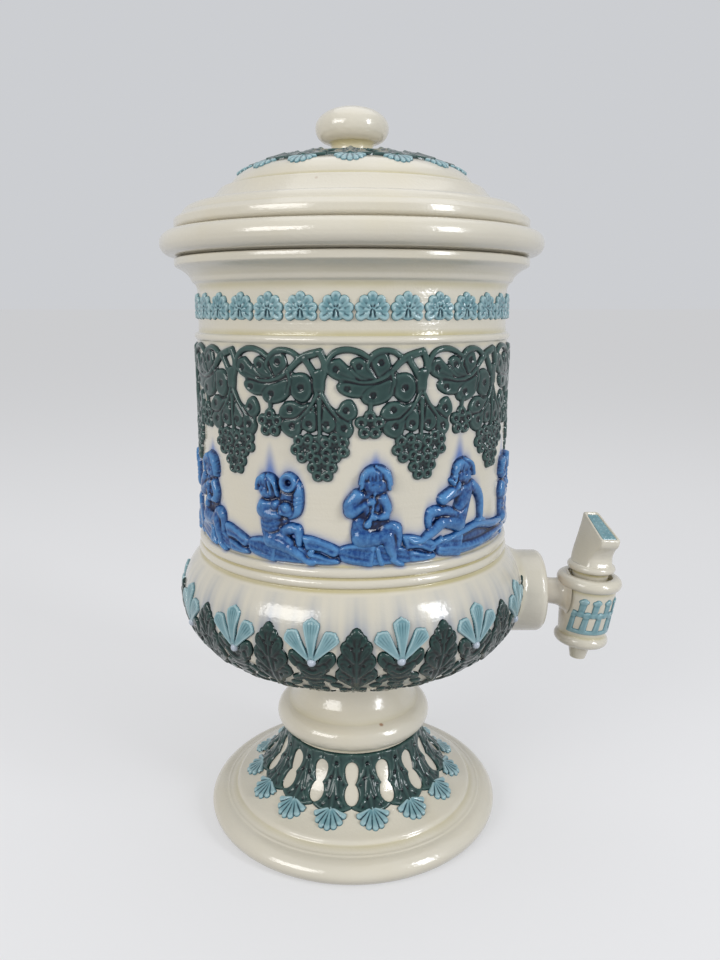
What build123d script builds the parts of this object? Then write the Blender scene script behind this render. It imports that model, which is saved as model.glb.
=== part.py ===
from build123d import *
import os
from math import cos, hypot, radians, sin, tan

os.makedirs("parts", exist_ok=True)

# Stoneware table water filter: an urn on a pedestal foot, a filter vessel that hangs in its
# mouth, a lid, a ground tap held by a cork, and ornament pressed in coloured clay.
# Millimetres, +Z up. The origin is the centre of the ring that the foot stands on, and the
# tap points along +X. The front of the ornament faces -Y.

# Clay and fits
wall = 8.0  # thrown wall of the urn and its foot
seat_gap = 0.05  # between pieces that only rest or are clamped together
overrun = 5.0  # how far a cut runs past the face it leaves by

# Pedestal foot, from the table up
foot_radius = 87.0
foot_ring_width = 9.0  # of the ring that stands on the table
foot_edge_height = 12.4
foot_edge_inset = 4.5  # from the widest place in to the standing ring
foot_top_width = 9.1  # of the rounded edge's upper side
foot_step_width = 8.0
foot_step_height = 5.1
foot_groove = 0.8
flare_height = 36.8
flare_neck_radius = 39.0
collar_radius = 46.0
collar_height = 13.5
waist_radius = 29.0  # of the foot, between its collar and the bowl
waist_height = 20.2  # over the collar
foot_top_radius = 38.0  # where the foot meets the bowl
foot_top_height = 10.5  # over the waist
hollow_top_clearance = 8.0  # clay left over the hollow of the foot

# Urn, from the collar up
bowl_radius = 98.0
bowl_height = 68.0
lower_bead_height = 5.3
upper_bead_height = 5.6
bead_proud = 1.9
bead_base_proud = 1.2  # grooves of the beads stand this far out of the barrel
barrel_radius = 85.0
barrel_height = 106.0
girdle_height = 3.9  # bead between barrel and neck band
girdle_proud = 1.3
neck_band_radius = 84.0
neck_band_height = 21.9
fillet_bead_height = 3.6
cove_height = 7.5
rim_radius = 95.4
rim_height = 4.7
rim_edge_round = 1.0

# Tap boss on the bowl
boss_radius = 24.0
boss_height = 135.0  # of its axis over the table
boss_reach = 112.0  # of its end face from the axis of the urn
boss_round = 4.0
boss_gap = 0.3  # between the boss and the ornament that is trimmed round it
cork_outer_radius = 14.5
cork_taper = 1.5  # how much narrower the cork is at its inner end
cork_proud = 0.8

# Filter vessel
torus_radius = 102.5
torus_height = 13.7
torus_foot_inset = 6.5  # from the widest place in to where the rim leaves its seat
torus_top_inset = 7.8  # and to where its flat top begins
pan_clearance = 5.0  # between the pan and the bore of the urn
pan_wall = 6.0
pan_depth = 124.0  # below the rim of the urn
pan_floor = 8.0
pan_round = 9.0
mouth_step = 3.0  # the mouth is this much wider than the pan, for the lid's flange
mouth_depth = 12.0

# Lid
lid_radius = 94.7
lid_band_height = 6.3
lid_shoulder_height = 2.1
lid_shoulder_width = 3.9
lid_bead_width = 10.0
lid_bead_height = 3.6
lid_bead_rise = 3.4
lid_cove_width = 10.2
lid_cove_height = 9.3
lid_step_width = 5.2
lid_step_height = 1.2
dome_height = 17.2
lid_wall = 6.5
flange_depth = 7.0
flange_width = 6.0
flange_clearance = 1.2

# Knob
knob_radius = 19.5
knob_neck_radius = 10.8
knob_neck_height = 4.0
knob_height = 22.0  # of the ball over its neck
knob_foot_radius = 15.0

# Filter inside the vessel
block_radius = 40.0
block_height = 78.0
block_edge_round = 12.0
stem_radius = 8.0
stem_bore_radius = 3.0
stem_gap = 0.15
stem_in_block = 46.0
stem_below_nut = 6.0
washer_radius = 17.0
washer_thickness = 3.0
nut_hub_radius = 13.0
nut_height = 12.0
nut_wing_reach = 24.0
nut_wing_thickness = 6.0
nut_wing_round = 4.0

# Tap, in its own leaning frame: the shank runs out along x and the barrel stands along z
tap_lean = 5.0  # degrees that the tap droops in its cork
shank_radius = 7.8
shank_bore_radius = 4.0
shank_inside = 26.0  # of shank behind the boss's end face
barrel_offset = 28.4  # from the boss's end face to the barrel's axis
tap_top_radius = 16.6
tap_foot_radius = 14.0
tap_ring_radius = 19.0
tap_ring_height = 7.5
tap_top_height = 12.5  # of the barrel's top over the shank's axis
tap_depth = 30.5  # of the barrel below the shank's axis
tap_base_ring_radius = 15.6
tap_base_ring_height = 6.5
tap_recess_radius = 13.2
tap_recess_depth = 4.0
nozzle_radius = 7.0
nozzle_tip_radius = 4.6
nozzle_length = 10.0
nozzle_bore_radius = 3.0

# Tap key: a ground plug under a disc and a thumb-piece
plug_top_radius = 9.6
plug_foot_radius = 7.6
plug_gap = 0.08
plug_foot_clearance = 1.5  # over the floor of the barrel
plug_floor = 5.0  # clay of the barrel under the plug's seat
key_neck_radius = 10.7
key_neck_rise = 2.6  # of the disc's underside over the barrel
key_disc_radius = 14.0
key_disc_height = 4.6
key_disc_round = 1.9
key_turn = 15.0  # degrees from the front towards the urn's tap side
thumb_rear_height = 28.5  # over the disc
thumb_front_height = 17.5
thumb_rear_reach = 11.5
thumb_front_reach = 16.5
thumb_scoop_height = 4.5
thumb_scoop_depth = 9.0
thumb_top_thickness = 6.5
thumb_mid_thickness = 11.0
thumb_foot_thickness = 23.0
inlay_margin = 2.2
inlay_thickness = 0.7

# Ornament in coloured clay
front = -90.0  # degrees from +X to the front
push_reach = 24.0  # how far an outline is pushed through its skin of clay, either way
palmette_count = 32
palmette_turn = 6.2  # degrees of one palmette past the front
palmette_width = 14.6
palmette_height = 12.4
palmette_proud = 2.3
palmette_over_girdle = 7.0
frieze_count = 11  # vines, with a figure between each two
vine_turn = -10.5
vine_width = 46.0
vine_height = 64.0
vine_below_girdle = 1.2
vine_proud = 1.8
figure_height = 48.0
figure_width = 32.0
figure_proud = 3.0
figure_over_beads = 1.0
swag_height = 16.0
swag_proud = 2.2
swag_over_beads = 1.0
bowl_leaf_count = 14
bowl_leaf_turn = 1.0
bowl_leaf_width = 21.0
bowl_leaf_length = 39.0
bowl_leaf_tilt = -20.0
bowl_leaf_proud = 1.8
fan_height = 23.5
fan_proud = 1.7
petal_width = 7.5
petal_spread = 40.0
calyx_width = 23.0
calyx_height = 17.0
calyx_proud = 1.9
pearl_radius = 2.3
pearl_proud = 2.9
base_leaf_count = 28
base_leaf_width = 14.0
base_leaf_length = 17.0
base_leaf_proud = 1.3
base_ring_radius = 64.0
base_ring_width = 4.0
foot_leaf_count = 15
foot_leaf_turn = 10.9
foot_leaf_length = 33.0
foot_leaf_proud = 1.5
flare_tilt = 48.0
foot_shell_width = 12.5
foot_shell_height = 10.5
foot_shell_proud = 1.9
lid_leaf_count = 15
lid_leaf_turn = -1.0
lid_leaf_length = 26.0
lid_leaf_place_share = 0.42
lid_leaf_proud = 1.3
dome_tilt = 65.0
lid_shell_width = 12.0
lid_shell_height = 8.0
lid_shell_proud = 1.7
lattice_proud = 0.9
lattice_count = 12
lattice_window_width = 4.0
lattice_window_height = 6.0
lattice_open_turn = 100.0  # degrees left bare on the shank's side

# Levels over the table
foot_step_level = foot_edge_height + foot_step_height
collar_level = foot_step_level + flare_height
collar_neck_level = collar_level + collar_height
waist_level = collar_neck_level + waist_height
bowl_level = waist_level + foot_top_height
bead_level = bowl_level + bowl_height
bead_middle_level = bead_level + lower_bead_height
barrel_level = bead_middle_level + upper_bead_height
girdle_level = barrel_level + barrel_height
neck_band_level = girdle_level + girdle_height
fillet_bead_level = neck_band_level + neck_band_height
cove_level = fillet_bead_level + fillet_bead_height
rim_level = cove_level + cove_height
vessel_level = rim_level + rim_height
lid_level = vessel_level + torus_height
lid_shoulder_level = lid_level + lid_band_height
lid_bead_level = lid_shoulder_level + lid_shoulder_height
lid_cove_level = lid_bead_level + lid_bead_rise
lid_step_level = lid_cove_level + lid_cove_height
dome_level = lid_step_level + lid_step_height
knob_level = dome_level + dome_height
knob_ball_level = knob_level + knob_neck_height
pan_level = vessel_level - pan_depth
pan_floor_level = pan_level + pan_floor
shell_bore_radius = barrel_radius - wall
pan_radius = shell_bore_radius - pan_clearance
pan_bore_radius = pan_radius - pan_wall
mouth_radius = pan_bore_radius + mouth_step
foot_step_radius = foot_radius - foot_top_width - foot_step_width

# Outlines of the turned surfaces that carry ornament, as shares of their widths and heights
bowl_shares = [
    (0.421, 0), (0.602, 0.052), (0.776, 0.149), (0.925, 0.325), (1, 0.62), (0.972, 0.844), (0.885, 1),
]
flare_shares = [(1, 0), (0.63, 0.136), (0.315, 0.367), (0.1, 0.666), (0, 1)]
dome_shares = [(1, 0), (0.959, 0.25), (0.864, 0.483), (0.581, 0.79), (0.19, 0.985)]

bowl_outline = [(bowl_radius * r, bowl_level + bowl_height * z) for r, z in bowl_shares]
flare_outline = [
    (flare_neck_radius + (foot_step_radius - flare_neck_radius) * r, foot_step_level + flare_height * z)
    for r, z in flare_shares
]
dome_radius = (
    lid_radius - lid_shoulder_width - lid_bead_width - lid_cove_width - lid_step_width
)
dome_outline = [(dome_radius * r, dome_level + dome_height * z) for r, z in dome_shares]


def moved_out(outline, distance):
    """The points of an outline moved square to it, out of the clay where distance is positive."""
    moved = []
    for place, (r, z) in enumerate(outline):
        r_before, z_before = outline[max(place - 1, 0)]
        r_after, z_after = outline[min(place + 1, len(outline) - 1)]
        run = hypot(r_after - r_before, z_after - z_before)
        moved.append((r + distance * (z_after - z_before) / run, z - distance * (r_after - r_before) / run))
    return moved


def arcs_through(points):
    """Arcs from each point to the next but one, through the point between; two points give a line."""
    if len(points) == 2:
        Line(*points)
    for place in range(0, len(points) - 2, 2):
        ThreePointArc(*points[place : place + 3])


def clay_skin(outline, proud):
    """A turned skin that lies on an outline and stands so far proud of it."""
    outer = moved_out(outline, proud)
    with BuildPart() as skin:
        with BuildSketch(Plane.XZ):
            with BuildLine():
                arcs_through(outline)
                arcs_through(outer)
                Line(outline[0], outer[0])
                Line(outline[-1], outer[-1])
            make_face()
        revolve(axis=Axis.Z)
    return skin.part


def facing_out(r, z, tilt=0):
    """The plane that faces away from the urn on its +X side, tipped up by tilt degrees."""
    return Plane(origin=(r, 0, z), x_dir=(0, 1, 0), z_dir=(cos(radians(tilt)), 0, sin(radians(tilt))))


def moved_along(start, end, share):
    """The point at a share of the way from start to end."""
    return (start[0] + (end[0] - start[0]) * share, start[1] + (end[1] - start[1]) * share)


def sized(shares, width, height):
    """The points of a shape that is one wide and one high, at its real size."""
    return [(width * x, height * y) for x, y in shares]


def both_sides(half_shares):
    """A whole outline from the shares of its right half, which runs from the top down."""
    left = [(-x, y) for x, y in reversed(half_shares) if x > 0]
    return half_shares + left


# Pedestal foot
standing_radius = foot_radius - foot_edge_inset
hollow_outline = moved_out(flare_outline, -wall)
with BuildPart() as pedestal_foot:
    with BuildSketch(Plane.XZ):
        with BuildLine():
            edge_top = (foot_radius - foot_top_width, foot_edge_height)
            edge_mid = (foot_radius, foot_edge_height * 0.52)
            edge_high = (foot_radius - foot_top_width * 0.25, foot_edge_height * 0.84)
            Line((0, 0), (standing_radius, 0))
            ThreePointArc(
                (standing_radius, 0), (foot_radius - foot_edge_inset * 0.22, foot_edge_height * 0.2), edge_mid
            )
            ThreePointArc(edge_mid, edge_high, edge_top)
            step_foot = (foot_step_radius + foot_groove, foot_edge_height + foot_step_height * 0.5)
            Line(edge_top, step_foot)
            Line(step_foot, flare_outline[0])
            arcs_through(flare_outline)
            collar_foot = (collar_radius - collar_height * 0.2, collar_level)
            Line(flare_outline[-1], collar_foot)
            ThreePointArc(
                collar_foot,
                (collar_radius, collar_level + collar_height * 0.55),
                (flare_neck_radius, collar_neck_level),
            )
            waist = (waist_radius, waist_level)
            TangentArc(waist, (flare_neck_radius, collar_neck_level), tangent=(0, -1))
            TangentArc(waist, (foot_top_radius, bowl_level), tangent=(0, 1))
            Line((foot_top_radius, bowl_level), (0, bowl_level))
            Line((0, bowl_level), (0, 0))
        make_face()
    revolve(axis=Axis.Z)
    with BuildSketch(Plane.XZ):
        with BuildLine():
            hollow_foot = (standing_radius - foot_ring_width, 0)
            hollow_neck = (waist_radius - wall, waist_level - wall)
            hollow_top = (waist_radius - wall, bowl_level - hollow_top_clearance)
            Line((0, 0), hollow_foot)
            Line(hollow_foot, hollow_outline[0])
            arcs_through(hollow_outline)
            Line(hollow_outline[-1], hollow_neck)
            Line(hollow_neck, hollow_top)
            Line(hollow_top, (0, hollow_top[1]))
            Line((0, hollow_top[1]), (0, 0))
        make_face()
    revolve(axis=Axis.Z, mode=Mode.SUBTRACT)

# Urn: bowl, beads, barrel, neck band and rim in one thrown piece, with the boss for the tap
cavity_outline = moved_out(bowl_outline, -wall)
groove_radius = barrel_radius + bead_base_proud
boss_start = bowl_radius * 0.8
with BuildPart() as urn_body:
    with BuildSketch(Plane.XZ):
        with BuildLine():
            Line((0, bowl_level), bowl_outline[0])
            arcs_through(bowl_outline)
            lower_crest = (groove_radius + bead_proud, bead_level + lower_bead_height / 2)
            upper_crest = (groove_radius + bead_proud, bead_middle_level + upper_bead_height / 2)
            ThreePointArc(bowl_outline[-1], lower_crest, (groove_radius, bead_middle_level))
            ThreePointArc((groove_radius, bead_middle_level), upper_crest, (barrel_radius, barrel_level))
            Line((barrel_radius, barrel_level), (barrel_radius, girdle_level))
            ThreePointArc(
                (barrel_radius, girdle_level),
                (barrel_radius + girdle_proud, girdle_level + girdle_height / 2),
                (neck_band_radius, neck_band_level),
            )
            Line((neck_band_radius, neck_band_level), (neck_band_radius, fillet_bead_level))
            cove_foot = (neck_band_radius + fillet_bead_height * 0.5, cove_level)
            Line((neck_band_radius, fillet_bead_level), cove_foot)
            cove_top = (rim_radius - rim_edge_round, rim_level)
            cove_middle = (
                cove_foot[0] * 0.62 + cove_top[0] * 0.38, cove_level + cove_height * 0.58,
            )
            ThreePointArc(cove_foot, cove_middle, cove_top)
            Line(cove_top, (rim_radius, rim_level + rim_edge_round))
            Line((rim_radius, rim_level + rim_edge_round), (rim_radius, vessel_level))
            Line((rim_radius, vessel_level), (0, vessel_level))
            Line((0, vessel_level), (0, bowl_level))
        make_face()
    revolve(axis=Axis.Z)
    with BuildSketch(Plane.YZ.offset(boss_start)):
        with Locations((0, boss_height)):
            Circle(boss_radius)
    extrude(amount=boss_reach - boss_start)
    fillet(urn_body.edges().sort_by(Axis.X)[-1], radius=boss_round)
    with BuildSketch(Plane.XZ):
        with BuildLine():
            Line((0, cavity_outline[0][1]), cavity_outline[0])
            arcs_through(cavity_outline)
            Line(cavity_outline[-1], (shell_bore_radius, barrel_level))
            Line((shell_bore_radius, barrel_level), (shell_bore_radius, vessel_level))
            Line((shell_bore_radius, vessel_level), (0, vessel_level))
            Line((0, vessel_level), (0, cavity_outline[0][1]))
        make_face()
    revolve(axis=Axis.Z, mode=Mode.SUBTRACT)
    with BuildSketch(Plane.YZ.offset(boss_start)):
        with Locations((0, boss_height)):
            Circle(cork_outer_radius - cork_taper + seat_gap)
    with BuildSketch(Plane.YZ.offset(boss_reach)):
        with Locations((0, boss_height)):
            Circle(cork_outer_radius + seat_gap)
    loft(mode=Mode.SUBTRACT)

# Filter vessel: the torus rim rests on the urn's rim and the pan hangs below it
with BuildPart() as filter_vessel:
    with BuildSketch(Plane.XZ):
        with BuildLine():
            torus_foot = (torus_radius - torus_foot_inset, vessel_level + seat_gap)
            torus_top = (torus_radius - torus_top_inset, lid_level)
            Line((0, pan_level), (pan_radius, pan_level))
            Line((pan_radius, pan_level), (pan_radius, vessel_level + seat_gap))
            Line((pan_radius, vessel_level + seat_gap), torus_foot)
            ThreePointArc(torus_foot, (torus_radius, vessel_level + torus_height * 0.58), torus_top)
            Line(torus_top, (mouth_radius, lid_level))
            Line((mouth_radius, lid_level), (mouth_radius, lid_level - mouth_depth))
            Line((mouth_radius, lid_level - mouth_depth), (pan_bore_radius, lid_level - mouth_depth))
            Line((pan_bore_radius, lid_level - mouth_depth), (pan_bore_radius, pan_floor_level))
            Line((pan_bore_radius, pan_floor_level), (0, pan_floor_level))
            Line((0, pan_floor_level), (0, pan_level))
        make_face()
    revolve(axis=Axis.Z)
    fillet(filter_vessel.edges().group_by(Axis.Z)[0], radius=pan_round)
    with BuildSketch(Plane.XY.offset(pan_level)):
        Circle(stem_radius + stem_gap)
    extrude(amount=pan_floor, mode=Mode.SUBTRACT)

# Lid: band, bead, cove, steps and dome, hollow below, with a flange inside the vessel's mouth
lid_inner_outline = moved_out(dome_outline, -lid_wall)
flange_radius = mouth_radius - flange_clearance
lid_bead_radius = lid_radius - lid_shoulder_width
lid_cove_radius = lid_bead_radius - lid_bead_width
lid_step_radius = lid_cove_radius - lid_cove_width
with BuildPart() as lid:
    with BuildSketch(Plane.XZ):
        with BuildLine():
            shoulder_edge = (lid_radius - lid_shoulder_height / 2, lid_shoulder_level)
            bead_start = (lid_bead_radius, lid_bead_level)
            bead_end = (lid_cove_radius, lid_cove_level)
            bead_crest = (
                lid_bead_radius - lid_bead_width * 0.42, lid_bead_level + lid_bead_height * 1.1,
            )
            cove_end = (lid_step_radius, lid_step_level)
            cove_middle = (
                lid_step_radius + lid_cove_width * 0.42, lid_cove_level + lid_cove_height * 0.43,
            )
            step_groove = (lid_step_radius - lid_step_width * 0.7, lid_step_level)
            Line((0, lid_level + seat_gap), (lid_radius, lid_level + seat_gap))
            shoulder_foot = (lid_radius, lid_shoulder_level - lid_shoulder_height / 2)
            Line((lid_radius, lid_level + seat_gap), shoulder_foot)
            Line((lid_radius, lid_shoulder_level - lid_shoulder_height / 2), shoulder_edge)
            Line(shoulder_edge, bead_start)
            ThreePointArc(bead_start, bead_crest, bead_end)
            ThreePointArc(bead_end, cove_middle, cove_end)
            Line(cove_end, step_groove)
            Line(step_groove, dome_outline[0])
            arcs_through(dome_outline)
            Line(dome_outline[-1], (0, dome_outline[-1][1]))
            Line((0, dome_outline[-1][1]), (0, lid_level + seat_gap))
        make_face()
    revolve(axis=Axis.Z)
    with BuildSketch(Plane.XY.offset(lid_level + seat_gap)):
        Circle(flange_radius)
    extrude(amount=-flange_depth)
    with BuildSketch(Plane.XZ):
        with BuildLine():
            flange_foot = (flange_radius - flange_width, lid_level - flange_depth)
            hollow_roof = (0, lid_inner_outline[-1][1])
            Line((0, flange_foot[1]), flange_foot)
            Line(flange_foot, (flange_foot[0], lid_level))
            Line((flange_foot[0], lid_level), lid_inner_outline[0])
            arcs_through(lid_inner_outline)
            Line(lid_inner_outline[-1], hollow_roof)
            Line(hollow_roof, (0, flange_foot[1]))
        make_face()
    revolve(axis=Axis.Z, mode=Mode.SUBTRACT)

# Knob, thrown by itself and luted on the dome
knob_seat_level = dome_outline[-1][1]
with BuildPart() as lid_knob:
    with BuildSketch(Plane.XZ):
        with BuildLine():
            neck_top = (knob_neck_radius, knob_ball_level)
            ball_edge = (knob_radius, knob_ball_level + knob_height * 0.45)
            ball_shoulder = (knob_radius * 0.66, knob_ball_level + knob_height * 0.87)
            ball_crown = (knob_radius * 0.1, knob_ball_level + knob_height)
            ball_top = (0, knob_ball_level + knob_height)
            Line((0, knob_seat_level), (knob_foot_radius, knob_seat_level))
            ThreePointArc(
                (knob_foot_radius, knob_seat_level),
                (knob_neck_radius * 1.08, knob_seat_level + knob_neck_height * 0.45),
                neck_top,
            )
            ThreePointArc(neck_top, (knob_radius * 0.86, knob_ball_level + knob_height * 0.22), ball_edge)
            ThreePointArc(ball_edge, (knob_radius * 0.91, knob_ball_level + knob_height * 0.66), ball_shoulder)
            ThreePointArc(ball_shoulder, (knob_radius * 0.37, knob_ball_level + knob_height * 0.97), ball_crown)
            Line(ball_crown, ball_top)
            Line(ball_top, (0, knob_seat_level))
        make_face()
    revolve(axis=Axis.Z)

# Carbon block, its stem, washers and nut
block_level = pan_floor_level + washer_thickness + 2 * seat_gap
stem_foot_level = pan_level - washer_thickness - nut_height - stem_below_nut
with BuildPart() as carbon_filter_block:
    with BuildSketch(Plane.XY.offset(block_level)):
        Circle(block_radius)
    extrude(amount=block_height)
    fillet(carbon_filter_block.edges().group_by(Axis.Z)[-1], radius=block_edge_round)
    with BuildSketch(Plane.XY.offset(block_level)):
        Circle(stem_radius + stem_gap)
    extrude(amount=stem_in_block + seat_gap, mode=Mode.SUBTRACT)

with BuildPart() as filter_stem:
    with BuildSketch(Plane.XY.offset(stem_foot_level)):
        Circle(stem_radius)
        Circle(stem_bore_radius, mode=Mode.SUBTRACT)
    extrude(amount=block_level + stem_in_block - stem_foot_level)

with BuildPart() as upper_washer:
    with BuildSketch(Plane.XY.offset(pan_floor_level + seat_gap)):
        Circle(washer_radius)
        Circle(stem_radius + stem_gap, mode=Mode.SUBTRACT)
    extrude(amount=washer_thickness)

with BuildPart() as lower_washer:
    with BuildSketch(Plane.XY.offset(pan_level - seat_gap)):
        Circle(washer_radius)
        Circle(stem_radius + stem_gap, mode=Mode.SUBTRACT)
    extrude(amount=-washer_thickness)

nut_top_level = pan_level - washer_thickness - 2 * seat_gap
with BuildPart() as wing_nut:
    with BuildSketch(Plane.XY.offset(nut_top_level)):
        Circle(nut_hub_radius)
    extrude(amount=-nut_height)
    with BuildSketch(Plane.XZ):
        with Locations((0, nut_top_level - nut_height / 2)):
            RectangleRounded(2 * nut_wing_reach, nut_height, nut_wing_round)
    extrude(amount=nut_wing_thickness / 2, both=True)
    with BuildSketch(Plane.XY.offset(nut_top_level)):
        Circle(stem_radius + stem_gap)
    extrude(amount=-nut_height, mode=Mode.SUBTRACT)

# Tap: its frame leans out at the boss's end face
tap_frame = Plane(
    origin=(boss_reach, 0, boss_height),
    x_dir=(cos(radians(tap_lean)), 0, -sin(radians(tap_lean))),
    z_dir=(sin(radians(tap_lean)), 0, cos(radians(tap_lean))),
)
barrel_frame = Plane(
    origin=tap_frame.from_local_coords((barrel_offset, 0, 0)), x_dir=tap_frame.x_dir, z_dir=tap_frame.z_dir
)
barrel_section = Plane(origin=barrel_frame.origin, x_dir=barrel_frame.x_dir, z_dir=-barrel_frame.y_dir)
shank_end = Plane(origin=barrel_frame.origin, x_dir=barrel_frame.y_dir, z_dir=barrel_frame.x_dir)
barrel_axis = Axis(barrel_frame.origin, barrel_frame.z_dir)
plug_seat_depth = tap_depth - plug_floor
plug_depth = plug_seat_depth - plug_foot_clearance
plug_top_height = tap_top_height - tap_recess_depth


def plug_radius_at(height):
    """Radius of the ground plug at a height over the shank's axis."""
    share = (height + plug_seat_depth) / (plug_top_height + plug_seat_depth)
    return plug_foot_radius + (plug_top_radius - plug_foot_radius) * share


with BuildPart() as tap_body:
    with BuildSketch(shank_end):
        Circle(shank_radius)
    extrude(amount=-(barrel_offset + shank_inside))
    with BuildSketch(barrel_section):
        with BuildLine():
            ring_low = tap_top_height - tap_ring_height
            base_top = -tap_depth + tap_base_ring_height
            Line((0, tap_top_height), (tap_recess_radius, tap_top_height))
            Line((tap_recess_radius, tap_top_height), (tap_ring_radius - tap_ring_height / 2, tap_top_height))
            ThreePointArc(
                (tap_ring_radius - tap_ring_height / 2, tap_top_height),
                (tap_ring_radius, tap_top_height - tap_ring_height / 2),
                (tap_top_radius, ring_low),
            )
            Line((tap_top_radius, ring_low), (tap_foot_radius, base_top))
            ThreePointArc(
                (tap_foot_radius, base_top),
                (tap_base_ring_radius, base_top - tap_base_ring_height / 2),
                (tap_foot_radius, -tap_depth),
            )
            Line((tap_foot_radius, -tap_depth), (nozzle_radius, -tap_depth))
            Line((nozzle_radius, -tap_depth), (nozzle_tip_radius, -tap_depth - nozzle_length))
            Line((nozzle_tip_radius, -tap_depth - nozzle_length), (0, -tap_depth - nozzle_length))
            Line((0, -tap_depth - nozzle_length), (0, tap_top_height))
        make_face()
    revolve(axis=barrel_axis)
    with BuildSketch(barrel_section):
        with BuildLine():
            seat_top = (plug_radius_at(plug_top_height) + plug_gap, plug_top_height)
            seat_foot = (plug_foot_radius + plug_gap, -plug_seat_depth)
            Line((0, tap_top_height), (tap_recess_radius, tap_top_height))
            Line((tap_recess_radius, tap_top_height), (tap_recess_radius, plug_top_height))
            Line((tap_recess_radius, plug_top_height), seat_top)
            Line(seat_top, seat_foot)
            Line(seat_foot, (nozzle_bore_radius, -plug_seat_depth))
            Line((nozzle_bore_radius, -plug_seat_depth), (nozzle_bore_radius, -tap_depth - nozzle_length))
            Line((nozzle_bore_radius, -tap_depth - nozzle_length), (0, -tap_depth - nozzle_length))
            Line((0, -tap_depth - nozzle_length), (0, tap_top_height))
        make_face()
    revolve(axis=barrel_axis, mode=Mode.SUBTRACT)
    with BuildSketch(shank_end):
        Circle(shank_bore_radius)
    extrude(amount=-(barrel_offset + shank_inside), mode=Mode.SUBTRACT)

# Cork bush: its hole leans with the tap
with BuildPart() as tap_cork:
    with BuildSketch(Plane.YZ.offset(boss_start)):
        with Locations((0, boss_height)):
            Circle(cork_outer_radius - cork_taper)
    with BuildSketch(Plane.YZ.offset(boss_reach)):
        with Locations((0, boss_height)):
            Circle(cork_outer_radius)
    loft()
    with BuildSketch(Plane.YZ.offset(boss_reach)):
        with Locations((0, boss_height)):
            Circle(cork_outer_radius)
    extrude(amount=cork_proud)
    with BuildSketch(Plane.YZ.offset(boss_reach - shank_inside + cork_proud)):
        with Locations((0, boss_height)):
            Circle(cork_outer_radius + overrun)
    extrude(amount=-shank_inside - overrun, mode=Mode.SUBTRACT)
    with BuildSketch(shank_end):
        Circle(shank_radius + seat_gap)
    extrude(amount=-(barrel_offset + shank_inside + overrun), mode=Mode.SUBTRACT)

# Tap key, in a frame whose x runs along the thumb-piece, to its front
key_direction = radians(front + key_turn)
key_frame = Plane(
    origin=barrel_frame.origin,
    x_dir=barrel_frame.x_dir * cos(key_direction) + barrel_frame.y_dir * sin(key_direction),
    z_dir=barrel_frame.z_dir,
)
key_side = Plane(origin=key_frame.origin, x_dir=key_frame.x_dir, z_dir=-key_frame.y_dir)
key_end = Plane(origin=key_frame.origin, x_dir=key_frame.y_dir, z_dir=key_frame.x_dir)
disc_low = tap_top_height + key_neck_rise
disc_high = disc_low + key_disc_height
thumb_front = thumb_front_reach
thumb_rear = -thumb_rear_reach


def thumb_profile():
    """Side of the thumb-piece: upright rear, sloping top and a scoop under the front."""
    front_top = (thumb_front, disc_high + thumb_front_height)
    front_low = (thumb_front - thumb_scoop_height / 2, front_top[1] - thumb_scoop_height)
    scoop_low = (key_disc_radius - key_disc_round, disc_high)
    scoop_middle = (thumb_front - thumb_scoop_depth, disc_high + thumb_front_height * 0.3)
    rear_top = (thumb_rear * 0.85, disc_high + thumb_rear_height)
    with BuildSketch() as profile:
        with BuildLine():
            Line((thumb_rear, disc_low + key_disc_round), (thumb_rear, disc_high))
            Line((thumb_rear, disc_high), rear_top)
            Line(rear_top, front_top)
            Line(front_top, front_low)
            ThreePointArc(front_low, scoop_middle, scoop_low)
            Line(scoop_low, (scoop_low[0], disc_low + key_disc_round))
            Line((scoop_low[0], disc_low + key_disc_round), (thumb_rear, disc_low + key_disc_round))
        make_face()
    return profile.sketch


def thumb_section():
    """End view of the thumb-piece: wide at the disc and pinched to the top."""
    foot, middle, top = disc_low + key_disc_round, disc_high + thumb_front_height, disc_high + thumb_rear_height
    waist = disc_high + thumb_front_height * 0.4
    half_waist = thumb_mid_thickness * 0.66
    with BuildSketch() as section:
        with BuildLine():
            Polyline(
                (thumb_foot_thickness / 2, foot),
                (thumb_foot_thickness / 2, disc_high),
                (half_waist, waist),
                (thumb_mid_thickness / 2, middle),
                (thumb_top_thickness / 2, top),
                (-thumb_top_thickness / 2, top),
                (-thumb_mid_thickness / 2, middle),
                (-half_waist, waist),
                (-thumb_foot_thickness / 2, disc_high),
                (-thumb_foot_thickness / 2, foot),
                close=True,
            )
        make_face()
    return section.sketch


thumb_side_sketch = thumb_profile()
thumb_end_sketch = thumb_section()
with BuildPart() as thumb_piece:
    with BuildSketch(key_side):
        add(thumb_side_sketch)
    extrude(amount=thumb_foot_thickness, both=True)
    with BuildSketch(key_end):
        add(thumb_end_sketch)
    extrude(amount=thumb_front_reach + thumb_rear_reach, both=True, mode=Mode.INTERSECT)

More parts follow.
